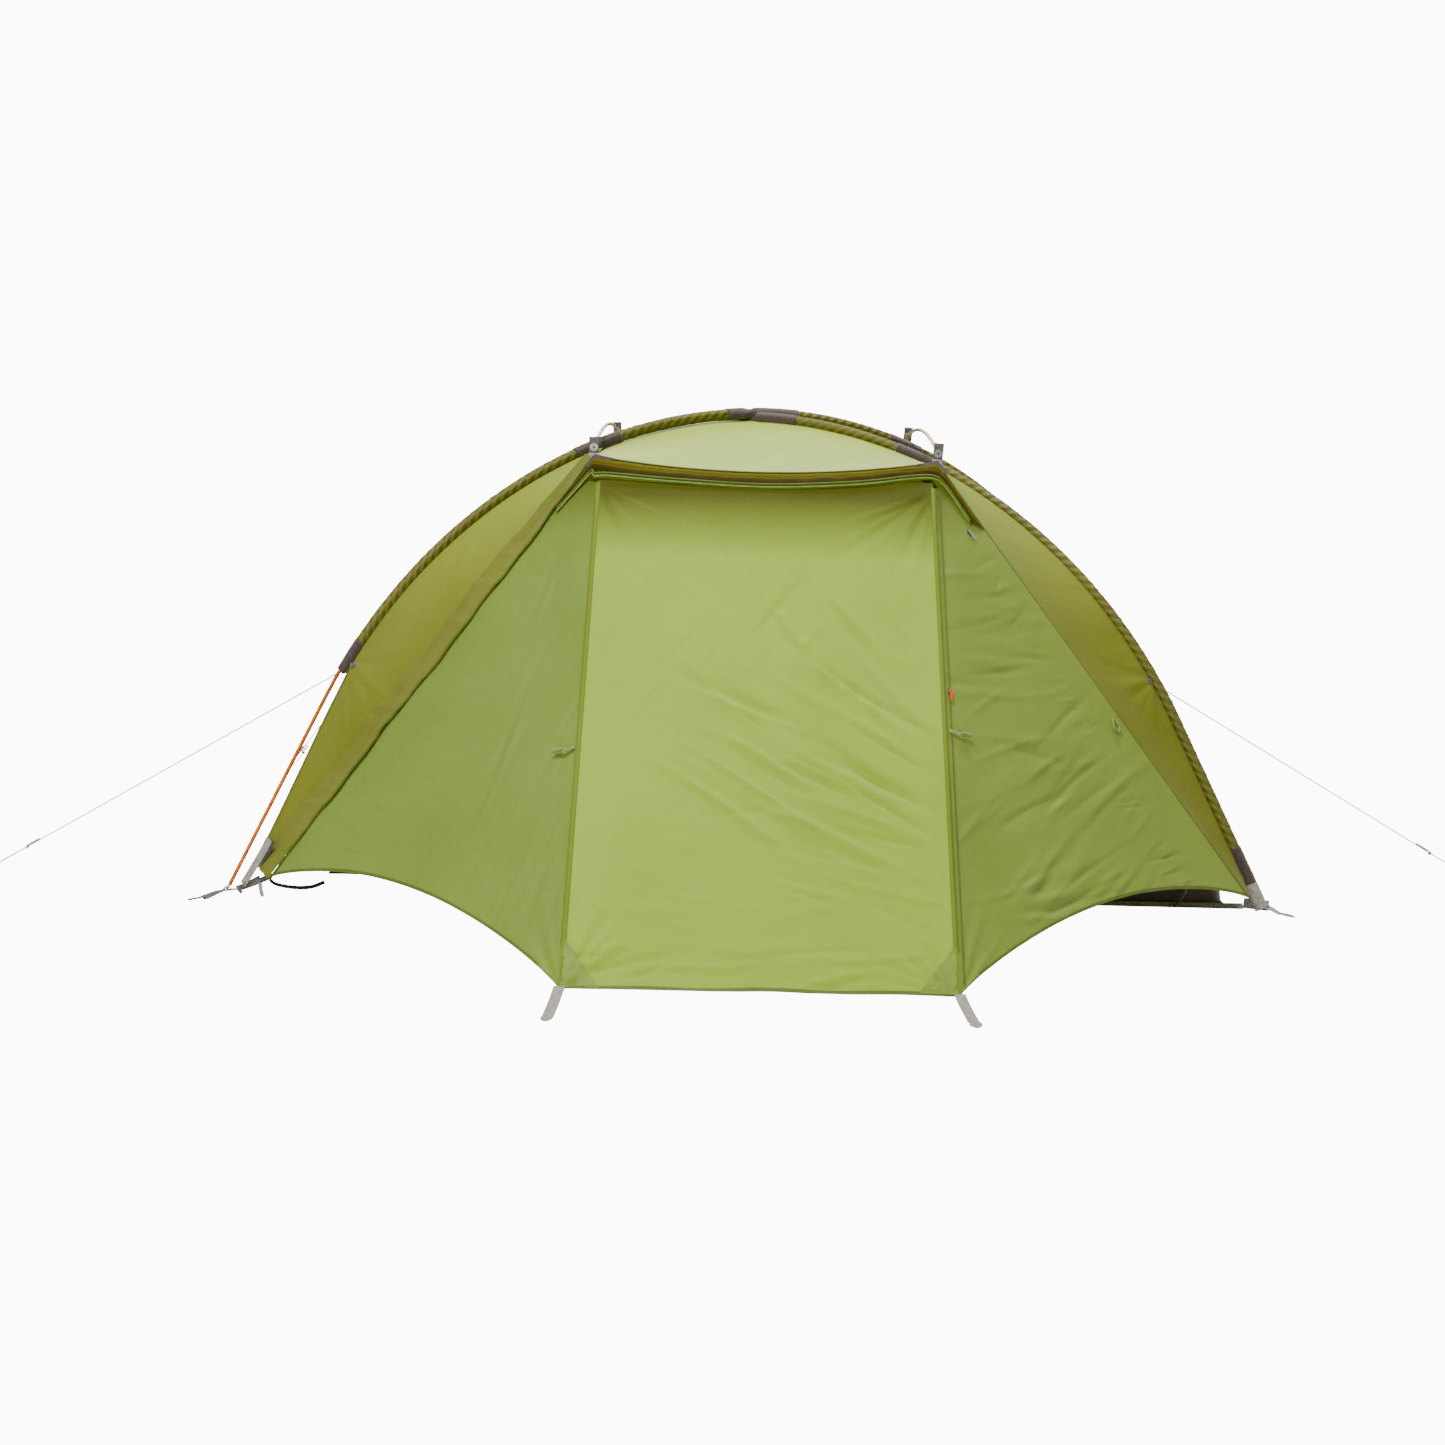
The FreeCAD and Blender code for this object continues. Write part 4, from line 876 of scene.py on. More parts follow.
def canopy_seam(side, count):
    """The fly under the long pole; on the left it leaves the pole below the sleeve."""
    distance = np.linspace(eave_at(side) + 0.004, FLY_FOOT, count)
    away = np.full(count, SEAM_INSET + 0.003)
    if side == LEFT:
        loose = smooth(sleeve_end(LEFT) - 0.03, sleeve_end(LEFT) + 0.05, distance)
        away = away + loose * 0.004 + 0.012 * smooth(sleeve_end(LEFT), FLY_FOOT, distance)
    reach, height = BOW.at(distance)
    places = BOW.points(side, FRONT, distance)
    tangent = np.gradient(places, axis=0)
    tangent = tangent / np.linalg.norm(tangent, axis=1, keepdims=True)
    inward = np.cross(tangent, unit(at(FOOT_Y, -side * FOOT_X, 0)))
    inward = inward * np.sign(inward[:, 2:] * -1)
    return places + inward * away[:, None]


def slope_at(side, share, inward=0.0):
    """A point of the sloping seam from the hood's corner to the wing's foot, or inside it."""
    head, foot = sided(HOOD_CORNER, side), sided(WING_FOOT, side)
    down = unit(foot - head)
    across = unit(np.cross(down, wing_frame(side)[3]))
    across = across * -np.sign(across[2])
    return head + (foot - head) * share + across * inward


def slope_edge(side, count):
    """The canopy's sloping edge, over the wing's zip or seam."""
    return dip(line(slope_at(side, 0), slope_at(side, 1), count), (0, 0.003, -0.003))


def wing_top(side, count, under):
    """The wing's upper edge: from the door's head to the sloping seam and down along it."""
    slope = [slope_at(side, share, under) for share in np.linspace(0.05, 1, 60)]
    return resampled(np.vstack([[sided(DOOR_HEAD, side)], slope]), count)


def make_canopy(side, depth):
    count = 150
    seam = canopy_seam(side, count)
    edge = slope_edge(side, count)
    across = 34
    ways = coons(edge, seam, line(edge[0], seam[0], across), line(edge[-1], seam[-1], across))
    downhill = unit(edge[-1] - edge[0])
    outward = unit(at(side * 0.4, -1, 0.6))
    flat = on_plane(ways, edge[0], downhill, unit(np.cross(outward, downhill)))
    seed = 30 + side * 3 + depth
    height = ripple(flat, seed, 0.30, 0.0035)
    root = guy_root(side, FRONT)
    spot = on_plane(root[None, None], edge[0], downhill, unit(np.cross(outward, downhill)))[0, 0]
    away = -1 if spot[1] > 0 else 1
    height += fan(flat, seed + 9, spot, away * 150, away * 20, 9, 0.02, 0.14, 0.008, 0.0026)
    height += creases(flat, seed + 5, 22, ((0.10, -0.3), (1.1, 0.3)), 20, 14, 0.10, 0.010, 0.0016)
    height = height * pinned(height.shape, 4)
    belly = -0.010 * pinned(height.shape, 16)
    points = faced(raised(ways, height + belly, outward), depth)
    name = f"canopy_{HAND[side]}_{WORD[depth]}"
    cloth = keep(grid(f"fly_{name}", points, CANOPY), "root", [name])
    rim = tube(f"slope_binding_{HAND[side]}_{WORD[depth]}", faced(resampled(edge, 120), depth), 0.0020, BINDING, 8)
    keep(rim, "root", ())
    if side == LEFT:
        loose = seam[np.linspace(0, 1, count) > 0.62]
        hem = tube(f"left_edge_binding_{WORD[depth]}", faced(resampled(loose, 70), depth), 0.0022, BINDING, 8)
        keep(hem, "root", ())


def make_end(side):
    """An end panel between the front and the rear seam, with an arched hem."""
    count = 140
    distance = np.linspace(0.03, FLY_FOOT, count)
    front = canopy_line(side, FRONT, distance)
    rear = canopy_line(side, REAR, distance)
    rows = 120
    top = line(front[0], rear[0], rows)
    hem = line(front[-1], rear[-1], rows)
    arch = np.sin(np.linspace(0, math.pi, rows)) ** 0.8
    hem = hem + arch[:, None] * at(-side * 0.03, 0, 0.075)
    ways = coons(front, rear, top, hem)
    flat = on_plane(ways, at(side * 0.6, 0, 0), at(0, 1, 0), unit(at(-side * 0.5, 0, 1)))
    seed = 60 + side
    height = ripple(flat, seed, 0.45, 0.006)
    height += fan(flat, seed + 1, flat[0, -1], 25, 80, 9, 0.05, 0.5, 0.018, 0.003)
    height += fan(flat, seed + 2, flat[-1, -1], 100, 155, 9, 0.05, 0.5, 0.018, 0.003)
    height = height * pinned(height.shape, 6)
    belly = -0.022 * pinned(height.shape, 60)
    outward = at(side * 0.6, 0, 1)
    points = raised(ways, height + belly, outward)
    name = f"end_{HAND[side]}"
    cloth = keep(grid(f"fly_{name}", points, END), "root", [name])
    edge = tube(f"end_binding_{HAND[side]}", resampled(points[:, -1], 130), 0.0024, BINDING, 8)
    keep(edge, "root", ())


def canopy_line(side, depth, distance):
    """The end panel's seam, on the same line as the canopy's."""
    line_points = canopy_seam(side, 200)
    along = np.linspace(eave_at(side) + 0.004, FLY_FOOT, 200)
    near = BOW.points(side, FRONT, distance, SEAM_INSET)
    far = np.stack([np.interp(distance, along, line_points[:, k]) for k in range(3)], axis=1)
    share = smooth(eave_at(side), eave_at(side) + 0.03, distance)[:, None]
    return faced(near * (1 - share) + far * share, depth)


# ---------------------------------------------------------------- fly: porch

def door_frame():
    """The door's origin, its directions and its outward normal."""
    foot, head = DOOR_FOOT, DOOR_HEAD
    upward = unit((head + sided(head, LEFT)) / 2 - (foot + sided(foot, LEFT)) / 2)
    out = unit(np.cross(at(1, 0, 0), upward))
    return at(0, foot[1], foot[2]), at(1, 0, 0), upward, out


def wing_frame(side):
    foot, head, corner = (sided(p, side) for p in (DOOR_FOOT, DOOR_HEAD, WING_FOOT))
    upward = unit(head - foot)
    out = unit(np.cross(corner - foot, upward)) * side
    if out[1] > 0:
        out = -out
    across = unit(np.cross(upward, out))
    if across[0] * side < 0:
        across = -across
    return foot, across, upward, out


def door_height(flat, seed):
    """Folds of the door: a bundle that runs down to the right, steeper ones above it."""
    height = ripple(flat, seed, 0.55, 0.006)
    height += creases(flat, seed + 1, 26, ((-0.12, 0.36), (0.26, 0.74)), -33, 4, 0.15, 0.0078, 0.0085)
    height += creases(flat, seed + 2, 11, ((0.06, 0.66), (0.27, 0.94)), -61, 5, 0.13, 0.0085, 0.0065)
    height += creases(flat, seed + 3, 14, ((0.00, 0.18), (0.27, 0.44)), -20, 7, 0.11, 0.0085, 0.0060)
    height += creases(flat, seed + 4, 14, ((-0.27, 0.72), (0.10, 1.05)), 56, 7, 0.09, 0.008, 0.0028)
    height += creases(flat, seed + 5, 14, ((-0.30, 0.10), (0.10, 0.42)), -14, 12, 0.09, 0.008, 0.0026)
    height += creases(flat, seed + 6, 40, ((-0.36, 0.015), (0.36, 0.10)), 3, 8, 0.07, 0.006, 0.0030)
    for number, (corner, low, high) in enumerate((((-0.395, 0), 8, 82), ((0.395, 0), 98, 172))):
        height += fan(flat, seed + 7 + number, corner, low, high, 13, 0.015, 0.20, 0.008, 0.0036)
    height += fan(flat, seed + 9, (-0.380, 1.27), -80, -20, 8, 0.02, 0.26, 0.010, 0.0026)
    height += fan(flat, seed + 10, (0.380, 1.27), 200, 260, 10, 0.02, 0.26, 0.009, 0.0036)
    return height


def make_door(depth):
    origin, across, upward, out = door_frame()
    foot, head = DOOR_FOOT, DOOR_HEAD
    columns, rows = cells(0.79), cells(1.27)
    bottom = line(sided(foot, LEFT), foot, columns) + upward * 0.003
    share = np.linspace(0, 1, columns)
    bottom = bottom + upward * (0.004 * np.sin(share * 9) ** 2 * np.sin(share * math.pi))[:, None]
    top = dip(line(sided(head, LEFT), head, columns), (0, 0, -0.004))
    top = top + upward * (0.006 + 0.010 * smooth(0.55, 0.9, share))[:, None]
    ways = coons(bottom, top, line(bottom[0], top[0], rows), line(bottom[-1], top[-1], rows))
    flat = on_plane(ways, origin, across, upward)
    seed = 100 if depth == FRONT else 140
    height = door_height(flat, seed) * pinned(flat.shape[:2], 5, "lrt")
    belly = -0.006 * pinned(flat.shape[:2], 40)
    lift = np.clip(height + belly, None, 0.02)
    points = raised(ways, lift, out)
    points[..., 2] = np.maximum(points[..., 2], 0.003)
    name = f"door_{WORD[depth]}"
    body = SWING[depth]
    cloth = keep(grid(f"fly_{name}", faced(points, depth), DOOR), body, [name])
    binding = strap_on(f"door_hem_{WORD[depth]}", points[0] + out * 0.0012, upward, 0.009, BINDING, depth)
    keep(binding, body, ())
    patches = [corner_patch(f"door_corner_{HAND[side]}_{WORD[depth]}", points, side, depth) for side in (LEFT, RIGHT)]
    for patch in patches:
        keep(patch, body, ())


def strap_on(name, points, across, width, material, depth, thick=0.0, shift=0.5):
    """A flat tape laid along a line of a panel, from the line to one side of it."""
    near = points - unit(across) * width * (1 - shift) + at(0, 0, 0)
    far = points + unit(across) * width * shift
    columns = 4
    share = np.linspace(0, 1, columns)[None, :, None]
    tape = near[:, None] * (1 - share) + far[:, None] * share
    tape[..., 2] = np.maximum(tape[..., 2], 0.0025)
    return grid(name, faced(tape, depth), material, thick=thick)


def corner_patch(name, points, side, depth, reach=0.118):
    """A three-cornered second layer in a bottom corner, wrinkled with the cloth below it."""
    rows, columns = points.shape[:2]
    tall = int(reach / CELL)
    wide = int(reach * 0.72 / CELL)
    block = points[:tall, :wide] if side == LEFT else points[:tall, columns - wide:][:, ::-1]
    row, column = np.mgrid[0:block.shape[0], 0:block.shape[1]]
    share = np.linspace(0, 1, 16)
    patch = np.zeros((16, 16, 3))
    for i, up in enumerate(share):
        reach_across = (1 - up) * (wide - 1)
        for j, aside in enumerate(share):
            patch[i, j] = sampled(block, up * (tall - 1), aside * reach_across)
    out = door_frame()[3]
    rng = np.random.default_rng(7 + wide)
    crumple = rng.normal(0, 0.0006, patch.shape[:2])
    return grid(name, faced(patch + out * (0.0022 + crumple[..., None]), depth), REINFORCE)


def sampled(block, row, column):
    """A point of a grid between its own points."""
    r, c = min(int(row), block.shape[0] - 2), min(int(column), block.shape[1] - 2)
    s, t = row - r, column - c
    return ((1 - s) * (1 - t) * block[r, c] + (1 - s) * t * block[r, c + 1]
            + s * (1 - t) * block[r + 1, c] + s * t * block[r + 1, c + 1])


def puckers(flat, seed, count, height):
    """Short folds along the wing's sloping seam, drawn in by its thread."""
    rng = np.random.default_rng(seed)
    head, foot = at(0.03, 1.27), at(0.99, 0.10)
    total = np.zeros(flat.shape[:2])
    for _ in range(count):
        spot = head + (foot - head) * rng.uniform(0.1, 0.98)
        turn = math.radians(rng.normal(38, 9))
        x, y = flat[..., 0] - spot[0], flat[..., 1] - spot[1]
        along = x * math.cos(turn) + y * math.sin(turn)
        across = y * math.cos(turn) - x * math.sin(turn)
        reach = rng.uniform(0.025, 0.07)
        total += rng.uniform(-1, 1) * height * np.exp(-(across / 0.005) ** 2 - (along / reach) ** 2)
    return total


def wing_hem(side, count):
    """The wing's bottom edge: an arch that is highest in its middle."""
    foot, _, upward, _ = wing_frame(side)
    corner = sided(WING_FOOT, side)
    share = np.linspace(0, 1, count)
    arch = np.sin(math.pi * share) ** 0.75
    return line(foot, corner, count) + upward * (HEM_RISE * arch)[:, None]


def wing_height(flat, seed, side):
    height = ripple(flat, seed, 0.40, 0.004)
    if side == RIGHT:
        height += creases(flat, seed + 1, 34, ((0.06, 0.28), (0.52, 0.80)), 46, 7, 0.13, 0.010, 0.0042)
        height += creases(flat, seed + 2, 22, ((0.18, 0.12), (0.66, 0.34)), 22, 8, 0.13, 0.010, 0.0040)
        height += creases(flat, seed + 3, 16, ((0.02, 0.66), (0.30, 1.08)), 24, 9, 0.11, 0.009, 0.0036)
        height += puckers(flat, seed + 6, 60, 0.0034)
        height += fan(flat, seed + 4, (0.0, 0.0), 10, 80, 12, 0.02, 0.26, 0.010, 0.0034)
    else:
        height += creases(flat, seed + 1, 24, ((0.02, 0.10), (0.26, 0.66)), 116, 7, 0.11, 0.008, 0.0034)
        height += creases(flat, seed + 2, 20, ((0.24, 0.06), (0.66, 0.30)), 140, 9, 0.12, 0.009, 0.0030)
        height += creases(flat, seed + 3, 16, ((0.02, 0.66), (0.20, 1.05)), 128, 8, 0.09, 0.008, 0.0028)
        height += puckers(flat, seed + 6, 46, 0.0022)
        height += fan(flat, seed + 4, (0.0, 0.0), 10, 80, 12, 0.02, 0.24, 0.010, 0.0034)
    return height


def make_wing(side, depth):
    foot, across, upward, out = wing_frame(side)
    columns, rows = cells(0.98), cells(1.1)
    share = np.linspace(0, 0.992, columns)
    hem, slope = wing_hem(side, 400), wing_top(side, 400, 0.0015)
    bottom = np.stack([np.interp(share, np.linspace(0, 1, 400), hem[:, k]) for k in range(3)], axis=1)
    top = np.stack([np.interp(share, np.linspace(0, 1, 400), slope[:, k]) for k in range(3)], axis=1)
    top = top - out * (0.004 if side == LEFT else 0.001)
    ways = coons(bottom, top, line(bottom[0], top[0], rows), line(bottom[-1], top[-1], rows))
    flat = on_plane(ways, foot, across, upward)
    seed = 200 + side * 20 + depth
    height = wing_height(flat, seed, side) * pinned(flat.shape[:2], 4, "lt")
    fade = smooth(0.0, 0.25, 1 - np.linspace(0, 1, columns))[None, :]
    points = raised(ways, height * fade - 0.004 * pinned(flat.shape[:2], 40), out)
    points[..., 2] = np.maximum(points[..., 2], 0.003)
    name = f"{HAND[side]}_wing_{WORD[depth]}"
    body = FOLD[depth] if side == LEFT else "root"
    material = LEFT_WING if side == LEFT else RIGHT_WING
    cloth = keep(grid(f"fly_{name}", faced(points, depth), material), body, [name])
    binding = strap_on(f"{name}_hem", points[0] + out * 0.0012, upward, 0.008, BINDING, depth)
    patch = wing_patch(f"{name}_corner", points, out, depth)
    for piece in (binding, patch):
        keep(piece, body, ())


def wing_patch(name, points, out, depth, reach=0.10):
    """The wing's half of the corner reinforcement."""
    tall = int(reach / (length_of(points[:, 0]) / (points.shape[0] - 1)))
    wide = int(reach * 0.7 / CELL)
    share = np.linspace(0, 1, 14)
    patch = np.zeros((14, 14, 3))
    for i, up in enumerate(share):
        for j, aside in enumerate(share):
            patch[i, j] = sampled(points, up * tall, aside * (1 - up) * wide)
    return grid(name, faced(patch + out * 0.0022, depth), REINFORCE)


def make_seams(depth):
    """Taped seams at the door's two sides."""
    for side in (LEFT, RIGHT):
        foot, across, upward, out = wing_frame(side)
        door_out = door_frame()[3]
        middle = line(foot + upward * 0.004, sided(DOOR_HEAD, side), cells(1.27, 0.009))
        share = np.linspace(-1, 1, 9)
        half = 0.0062
        rows = np.zeros((len(middle), 9, 3))
        inner = -unit(at(side, 0, 0))
        for column, offset in enumerate(share):
            way = across if offset > 0 else inner
            bulge = 0.0012 * (1 - offset ** 2) + 0.0012
            rise = unit(out + door_out) * bulge
            rows[:, column] = middle + way * abs(offset) * half + rise
        rows[..., 2] = np.maximum(rows[..., 2], 0.003)
        tape = grid(f"door_seam_{HAND[side]}_{WORD[depth]}", faced(rows, depth), TAPE)
        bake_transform(tape)
        make_stitches(side, depth, middle, across, inner, out)


def make_stitches(side, depth, middle, across, inner, out):
    """Two rows of stitches, one on the wing and one on the door."""
    for word, way in (("wing", across), ("door", inner)):
        step, size = 0.006, 0.0032
        count = int(length_of(middle) / step)
        centres = resampled(middle, count)[1:-1] + way * 0.0058 + out * 0.0022
        along = unit(middle[-1] - middle[0])
        stitches = []
        faces = []
        for number, centre in enumerate(centres):
            a, b = centre - along * size / 2, centre + along * size / 2
            wide = way * 0.0005
            stitches += [a - wide, a + wide, b + wide, b - wide, (a + b) / 2 + out * 0.0006]
            n = number * 5
            faces += [(n, n + 1, n + 4), (n + 1, n + 2, n + 4), (n + 2, n + 3, n + 4), (n + 3, n, n + 4)]
        body = SWING[depth] if word == "door" else ("root" if side == RIGHT else FOLD[depth])
        row = mesh_of(f"stitches_{HAND[side]}_{word}_{WORD[depth]}", faced(np.array(stitches), depth), faces, BINDING)
        keep(row, body, ())


# ---------------------------------------------------------------- hood, storm flap and zips

def hood_path(count):
    """The hood's upper edge: from the left slope over the two tabs and down the right slope."""
    start = line(slope_at(LEFT, 0.125), slope_at(LEFT, 0), 10)[:-1]
    middle = roof_edge(40)
    end = line(slope_at(RIGHT, 0), slope_at(RIGHT, 0.15), 12)[1:]
    return resampled(np.vstack([start, middle, end]) + at(0, -0.002, -0.002), count)


def zip_path(count):
    """The porch zip: up the left slope, over the door and round the right corner."""
    points = [slope_at(LEFT, 0.125, 0.014), slope_at(LEFT, 0.07, 0.022), slope_at(LEFT, 0.03, 0.028),
              at(-0.388, -0.588, 0.968), at(-0.352, -0.592, 0.969), at(-0.20, -0.598, 0.959),
              at(0.0, -0.602, 0.951), at(0.20, -0.597, 0.960), at(0.340, -0.582, 0.976),
              at(0.385, -0.578, 0.975), slope_at(RIGHT, 0.045, 0.030), slope_at(RIGHT, 0.085, 0.031),
              slope_at(RIGHT, 0.128, 0.034)]
    return curve(points, count)


def make_hood(depth):
    """A soft roll of olive cloth under the roof's edge: lit above, folded under below, where the lower half takes a
    darker copy of the olive as painted shade.
    """
    count = 150
    top = hood_path(count)
    zipper = zip_path(900)
    low = np.array([zipper[np.argmin(np.linalg.norm(zipper - p, axis=1))] for p in top])
    kernel = np.ones(9) / 9
    low = np.stack([np.convolve(np.pad(low[:, k], 4, mode="edge"), kernel, mode="valid") for k in range(3)], axis=1)
    low = low + at(0, -0.002, 0.007)
    rows = 14
    share = np.linspace(0, 1, rows)[:, None, None]
    out = door_frame()[3]
    roll = np.sin(share * math.pi) ** 0.8 * 0.010
    fold = -0.006 * np.exp(-((share - 0.55) / 0.10) ** 2)
    points = top[None] * (1 - share) + low[None] * share + out * (roll + fold)
    rng = np.random.default_rng(81 if depth == FRONT else 82)
    place_along = np.linspace(0, 1, count)[None, :]
    pleats = sum(np.sin(place_along * rng.uniform(40, 160) + share[..., 0] * rng.uniform(-4, 4) + rng.uniform(0, 6))
                 for _ in range(5)) * 0.0007
    points = points + out * pleats[..., None] * np.sin(share * math.pi)
    name = f"hood_{WORD[depth]}"
    cloth = keep(grid(f"porch_{name}", faced(points, depth), HOOD), "root", [name])
    # The lower rows take the darker copy: painted shade on the turned-under half.
    cloth.data.materials.append(HOOD_PAINTED_SHADE)
    for number, face in enumerate(cloth.data.polygons):
        face.material_index = int(number // (count - 1) > rows * 0.52)
    for side in (LEFT, RIGHT):
        keep(hood_triangle(side, depth), "root", ())


def hood_triangle(side, depth):
    """A brown three-cornered patch on the hood under each eave tab."""
    top = sided(HOOD_CORNER, side)
    out = door_frame()[3]
    inner = at(-side * 0.048, -0.006, -0.012)
    down = unit(sided(WING_FOOT, side) - top) * 0.044 + at(0, -0.006, 0)
    share = np.linspace(0, 1, 9)
    patch = np.zeros((9, 9, 3))
    for i, s in enumerate(share):
        for j, t in enumerate(share):
            patch[i, j] = top + inner * s * (1 - t) + down * s * t + out * (0.009 + 0.005 * s)
    return grid(f"hood_patch_{HAND[side]}_{WORD[depth]}", faced(patch, depth), PATCH)


def make_storm_flap(depth):
    """A ruffled double strip over the left slope; its free edge hangs over the wing, and a dark tube under that edge
    is its hem and painted shadow.
    """
    out = wing_frame(LEFT)[3]
    head, foot = slope_at(LEFT, 0.005), slope_at(LEFT, 0.995)
    down = unit(foot - head)
    aside = unit(np.cross(out, down))
    if aside[0] > 0:
        aside = -aside
    rows, columns = 190, 18
    share = np.linspace(0, 1, rows)[:, None]
    over = np.linspace(-0.14, 1, columns)[None, :]
    width = 0.052 * (0.45 + 0.55 * smooth(0, 0.3, share))
    rng = np.random.default_rng(91 if depth == FRONT else 92)
    long = length_of(np.stack([head, foot]))
    ruffle = np.zeros((rows, columns))
    for _ in range(70):
        spot, lean = rng.uniform(0, 1), rng.normal(0.9, 0.5)
        size = rng.uniform(0.004, 0.009) / long
        height = rng.uniform(-1, 1) * 0.0024 * (0.35 + 0.65 * spot)
        ruffle += height * np.exp(-((share - spot - lean * over * 0.02) / size / 1.6) ** 2)
    lengthwise = 0.0022 * np.sin(over * 7 + np.sin(share * 11) * 1.3) * smooth(0, 0.1, share)
    lift = 0.008 + 0.004 * np.sin(over * math.pi) + ruffle + lengthwise
    wander = 0.003 * np.sin(share * 23) + 0.002 * np.sin(share * 61)
    points = (head + (foot - head) * share[..., None] + aside * (over * width + wander)[..., None]
              + out * lift[..., None])
    points[..., 2] = np.maximum(points[..., 2], 0.012)
    name = f"storm_flap_{WORD[depth]}"
    cloth = keep(grid(f"porch_{name}", faced(points, depth), FLAP), "root", [name])
    # A dark tube just under the free edge: the flap's hem, and painted shadow where the edge overhangs the wing.
    under = points[:, 0] - out * 0.003
    edge = tube(f"storm_flap_hem_and_shadow_{WORD[depth]}", faced(resampled(under, 160), depth), 0.0018, BINDING, 8)
    keep(edge, "root", ())


def make_zips(depth):
    """Piping, coil and tapes of the porch zip with painted shade in the fold above the piping, and the coil down the
    door's right seam.
    """
    out = door_frame()[3]
    way = zip_path(260)
    tape = strap_on(f"zip_tape_{WORD[depth]}", way + out * 0.003, at(0, 0.35, 1), 0.013, TAPE, depth, shift=0.5)
    keep(tape, "root", [f"zip_{WORD[depth]}"])
    piping = tube(f"zip_piping_{WORD[depth]}", faced(way + out * 0.0058 - at(0, 0, 0.0035), depth), 0.0023, PIPING, 10)
    keep(piping, "root", ())
    # A dark tube in the fold above the piping, where the zip's coil lies: painted shade of that fold.
    fold_shade = tube(f"porch_zip_fold_shade_{WORD[depth]}", faced(way + out * 0.0052 + at(0, 0, 0.0035), depth), 0.0020, BINDING, 8)
    keep(fold_shade, "root", ())
    foot, across, upward, wing_out = wing_frame(RIGHT)
    middle = line(foot + upward * 0.03, DOOR_HEAD - upward * 0.01, 420) + across * 0.015 + wing_out * 0.0035
    turn = np.arange(len(middle)) * 1.9
    coil = middle + across * (np.cos(turn) * 0.0016)[:, None] + wing_out * (np.sin(turn) * 0.0009)[:, None]
    keep(tube(f"zip_coil_{WORD[depth]}", faced(coil, depth), 0.0011, BINDING, 6), "root", ())


def make_pulls():
    """Sliders and pulls keep their CAD shape and get their colours."""
    for depth in (FRONT, REAR):
        paint(f"side_slider_{WORD[depth]}", SILVER)
        paint(f"side_pull_{WORD[depth]}", ORANGE)
        paint(f"top_pull_{WORD[depth]}", PULL_GREY)
    paint("top_sliders", SILVER)


def paint(node, material):
    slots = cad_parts[node].data.materials
    if len(slots):
        for number in range(len(slots)):
            slots[number] = material
    else:
        slots.append(material)


# ---------------------------------------------------------------- sleeves and patches

def bow_frames(bow, side, depth, distance):
    """Centres, out and side directions along a pole's half."""
    centres = bow.points(side, depth, distance)
    outs = bow.points(side, depth, distance, -0.01) - bow.points(side, depth, distance, 0.01)
    outs = outs / np.linalg.norm(outs, axis=1, keepdims=True)
    straight = distance > bow.arc
    if straight.any():
        turn = SWEEP
        reach_out, up_out = math.sin(turn), math.cos(turn)
        outs[straight] = at(side * FOOT_X / REACH * reach_out, depth * FOOT_Y / REACH * reach_out, up_out)
    tangent = np.gradient(centres, axis=0)
    tangent = tangent / np.linalg.norm(tangent, axis=1, keepdims=True)
    return centres, outs, np.cross(tangent, outs)


def make_sleeve(name, bow, side, depth, start, stop, radius, material, seed, ruffle, drop):
    """A gathered tube round the pole: round above, drawn down to the fly's seam below."""
    rows, columns = cells(stop - start, 0.004), 28
    distance = np.linspace(start, stop, rows)
    centres, outs, sides = bow_frames(bow, side, depth, distance)
    angle = np.linspace(0, 2 * math.pi, columns, endpoint=False)[None, :]
    rng = np.random.default_rng(seed)
    gather = np.zeros((rows, columns))
    spots = np.arange(start, stop, 0.0125)
    for spot in spots:
        place_at, lean = spot + rng.normal(0, 0.003), rng.normal(0.015, 0.003)
        sway = place_at + lean * np.sin(angle - 0.6)
        gather += rng.uniform(0.4, 1.0) * np.exp(-((distance[:, None] - sway) / 0.0036) ** 2)
    centres = centres - outs * SLEEVE_SAG
    size = radius + ruffle * (gather - 0.6)
    low = np.clip(-np.cos(angle), 0, 1) ** 3 * drop
    profile = np.stack([np.cos(angle) * size - low, np.sin(angle) * size * (1 - 0.10 * (low > 0))], axis=-1)
    return rings(name, centres, outs, sides, profile, material)


def make_sleeves():
    for letter, (bow, start_depth) in {"a": (UPPER, FRONT), "b": (LOWER, REAR)}.items():
        halves = []
        for side, depth in ((LEFT, start_depth), (RIGHT, -start_depth)):
            stop = sleeve_end(side)
            halves.append(make_sleeve(f"sleeve_{letter}_{side + 2}", bow, side, depth, SLEEVE_FROM - 0.005, stop,
                                      0.0130, SLEEVE, 300 + side + ord(letter), 0.0009, 0.002))
        keep(joined(f"pole_sleeve_{letter}", halves), "root", [f"sleeve_{letter}"])


def make_patches():
    pieces = []
    for bow, start_depth in ((UPPER, FRONT), (LOWER, REAR)):
        for side, depth in ((LEFT, start_depth), (RIGHT, -start_depth)):
            cross, end = eave_at(side), sleeve_end(side)
            spans = [(cross - 0.048, cross + 0.079) if side == LEFT else (cross - 0.085, cross + 0.015)]
            spans.append((end - 0.076, end + 0.004) if side == LEFT else (end - 0.004, end + 0.088))
            for number, (start, stop) in enumerate(spans):
                name = f"wear_patch_{side + 2}{depth + 2}{number}"
                pieces.append(make_sleeve(name, bow, side, depth, start, stop, 0.0145, PATCH, 400 + number, 0.0005, 0.002))
    keep(joined("wear_patches", pieces), "root", ["sleeve_patches"])


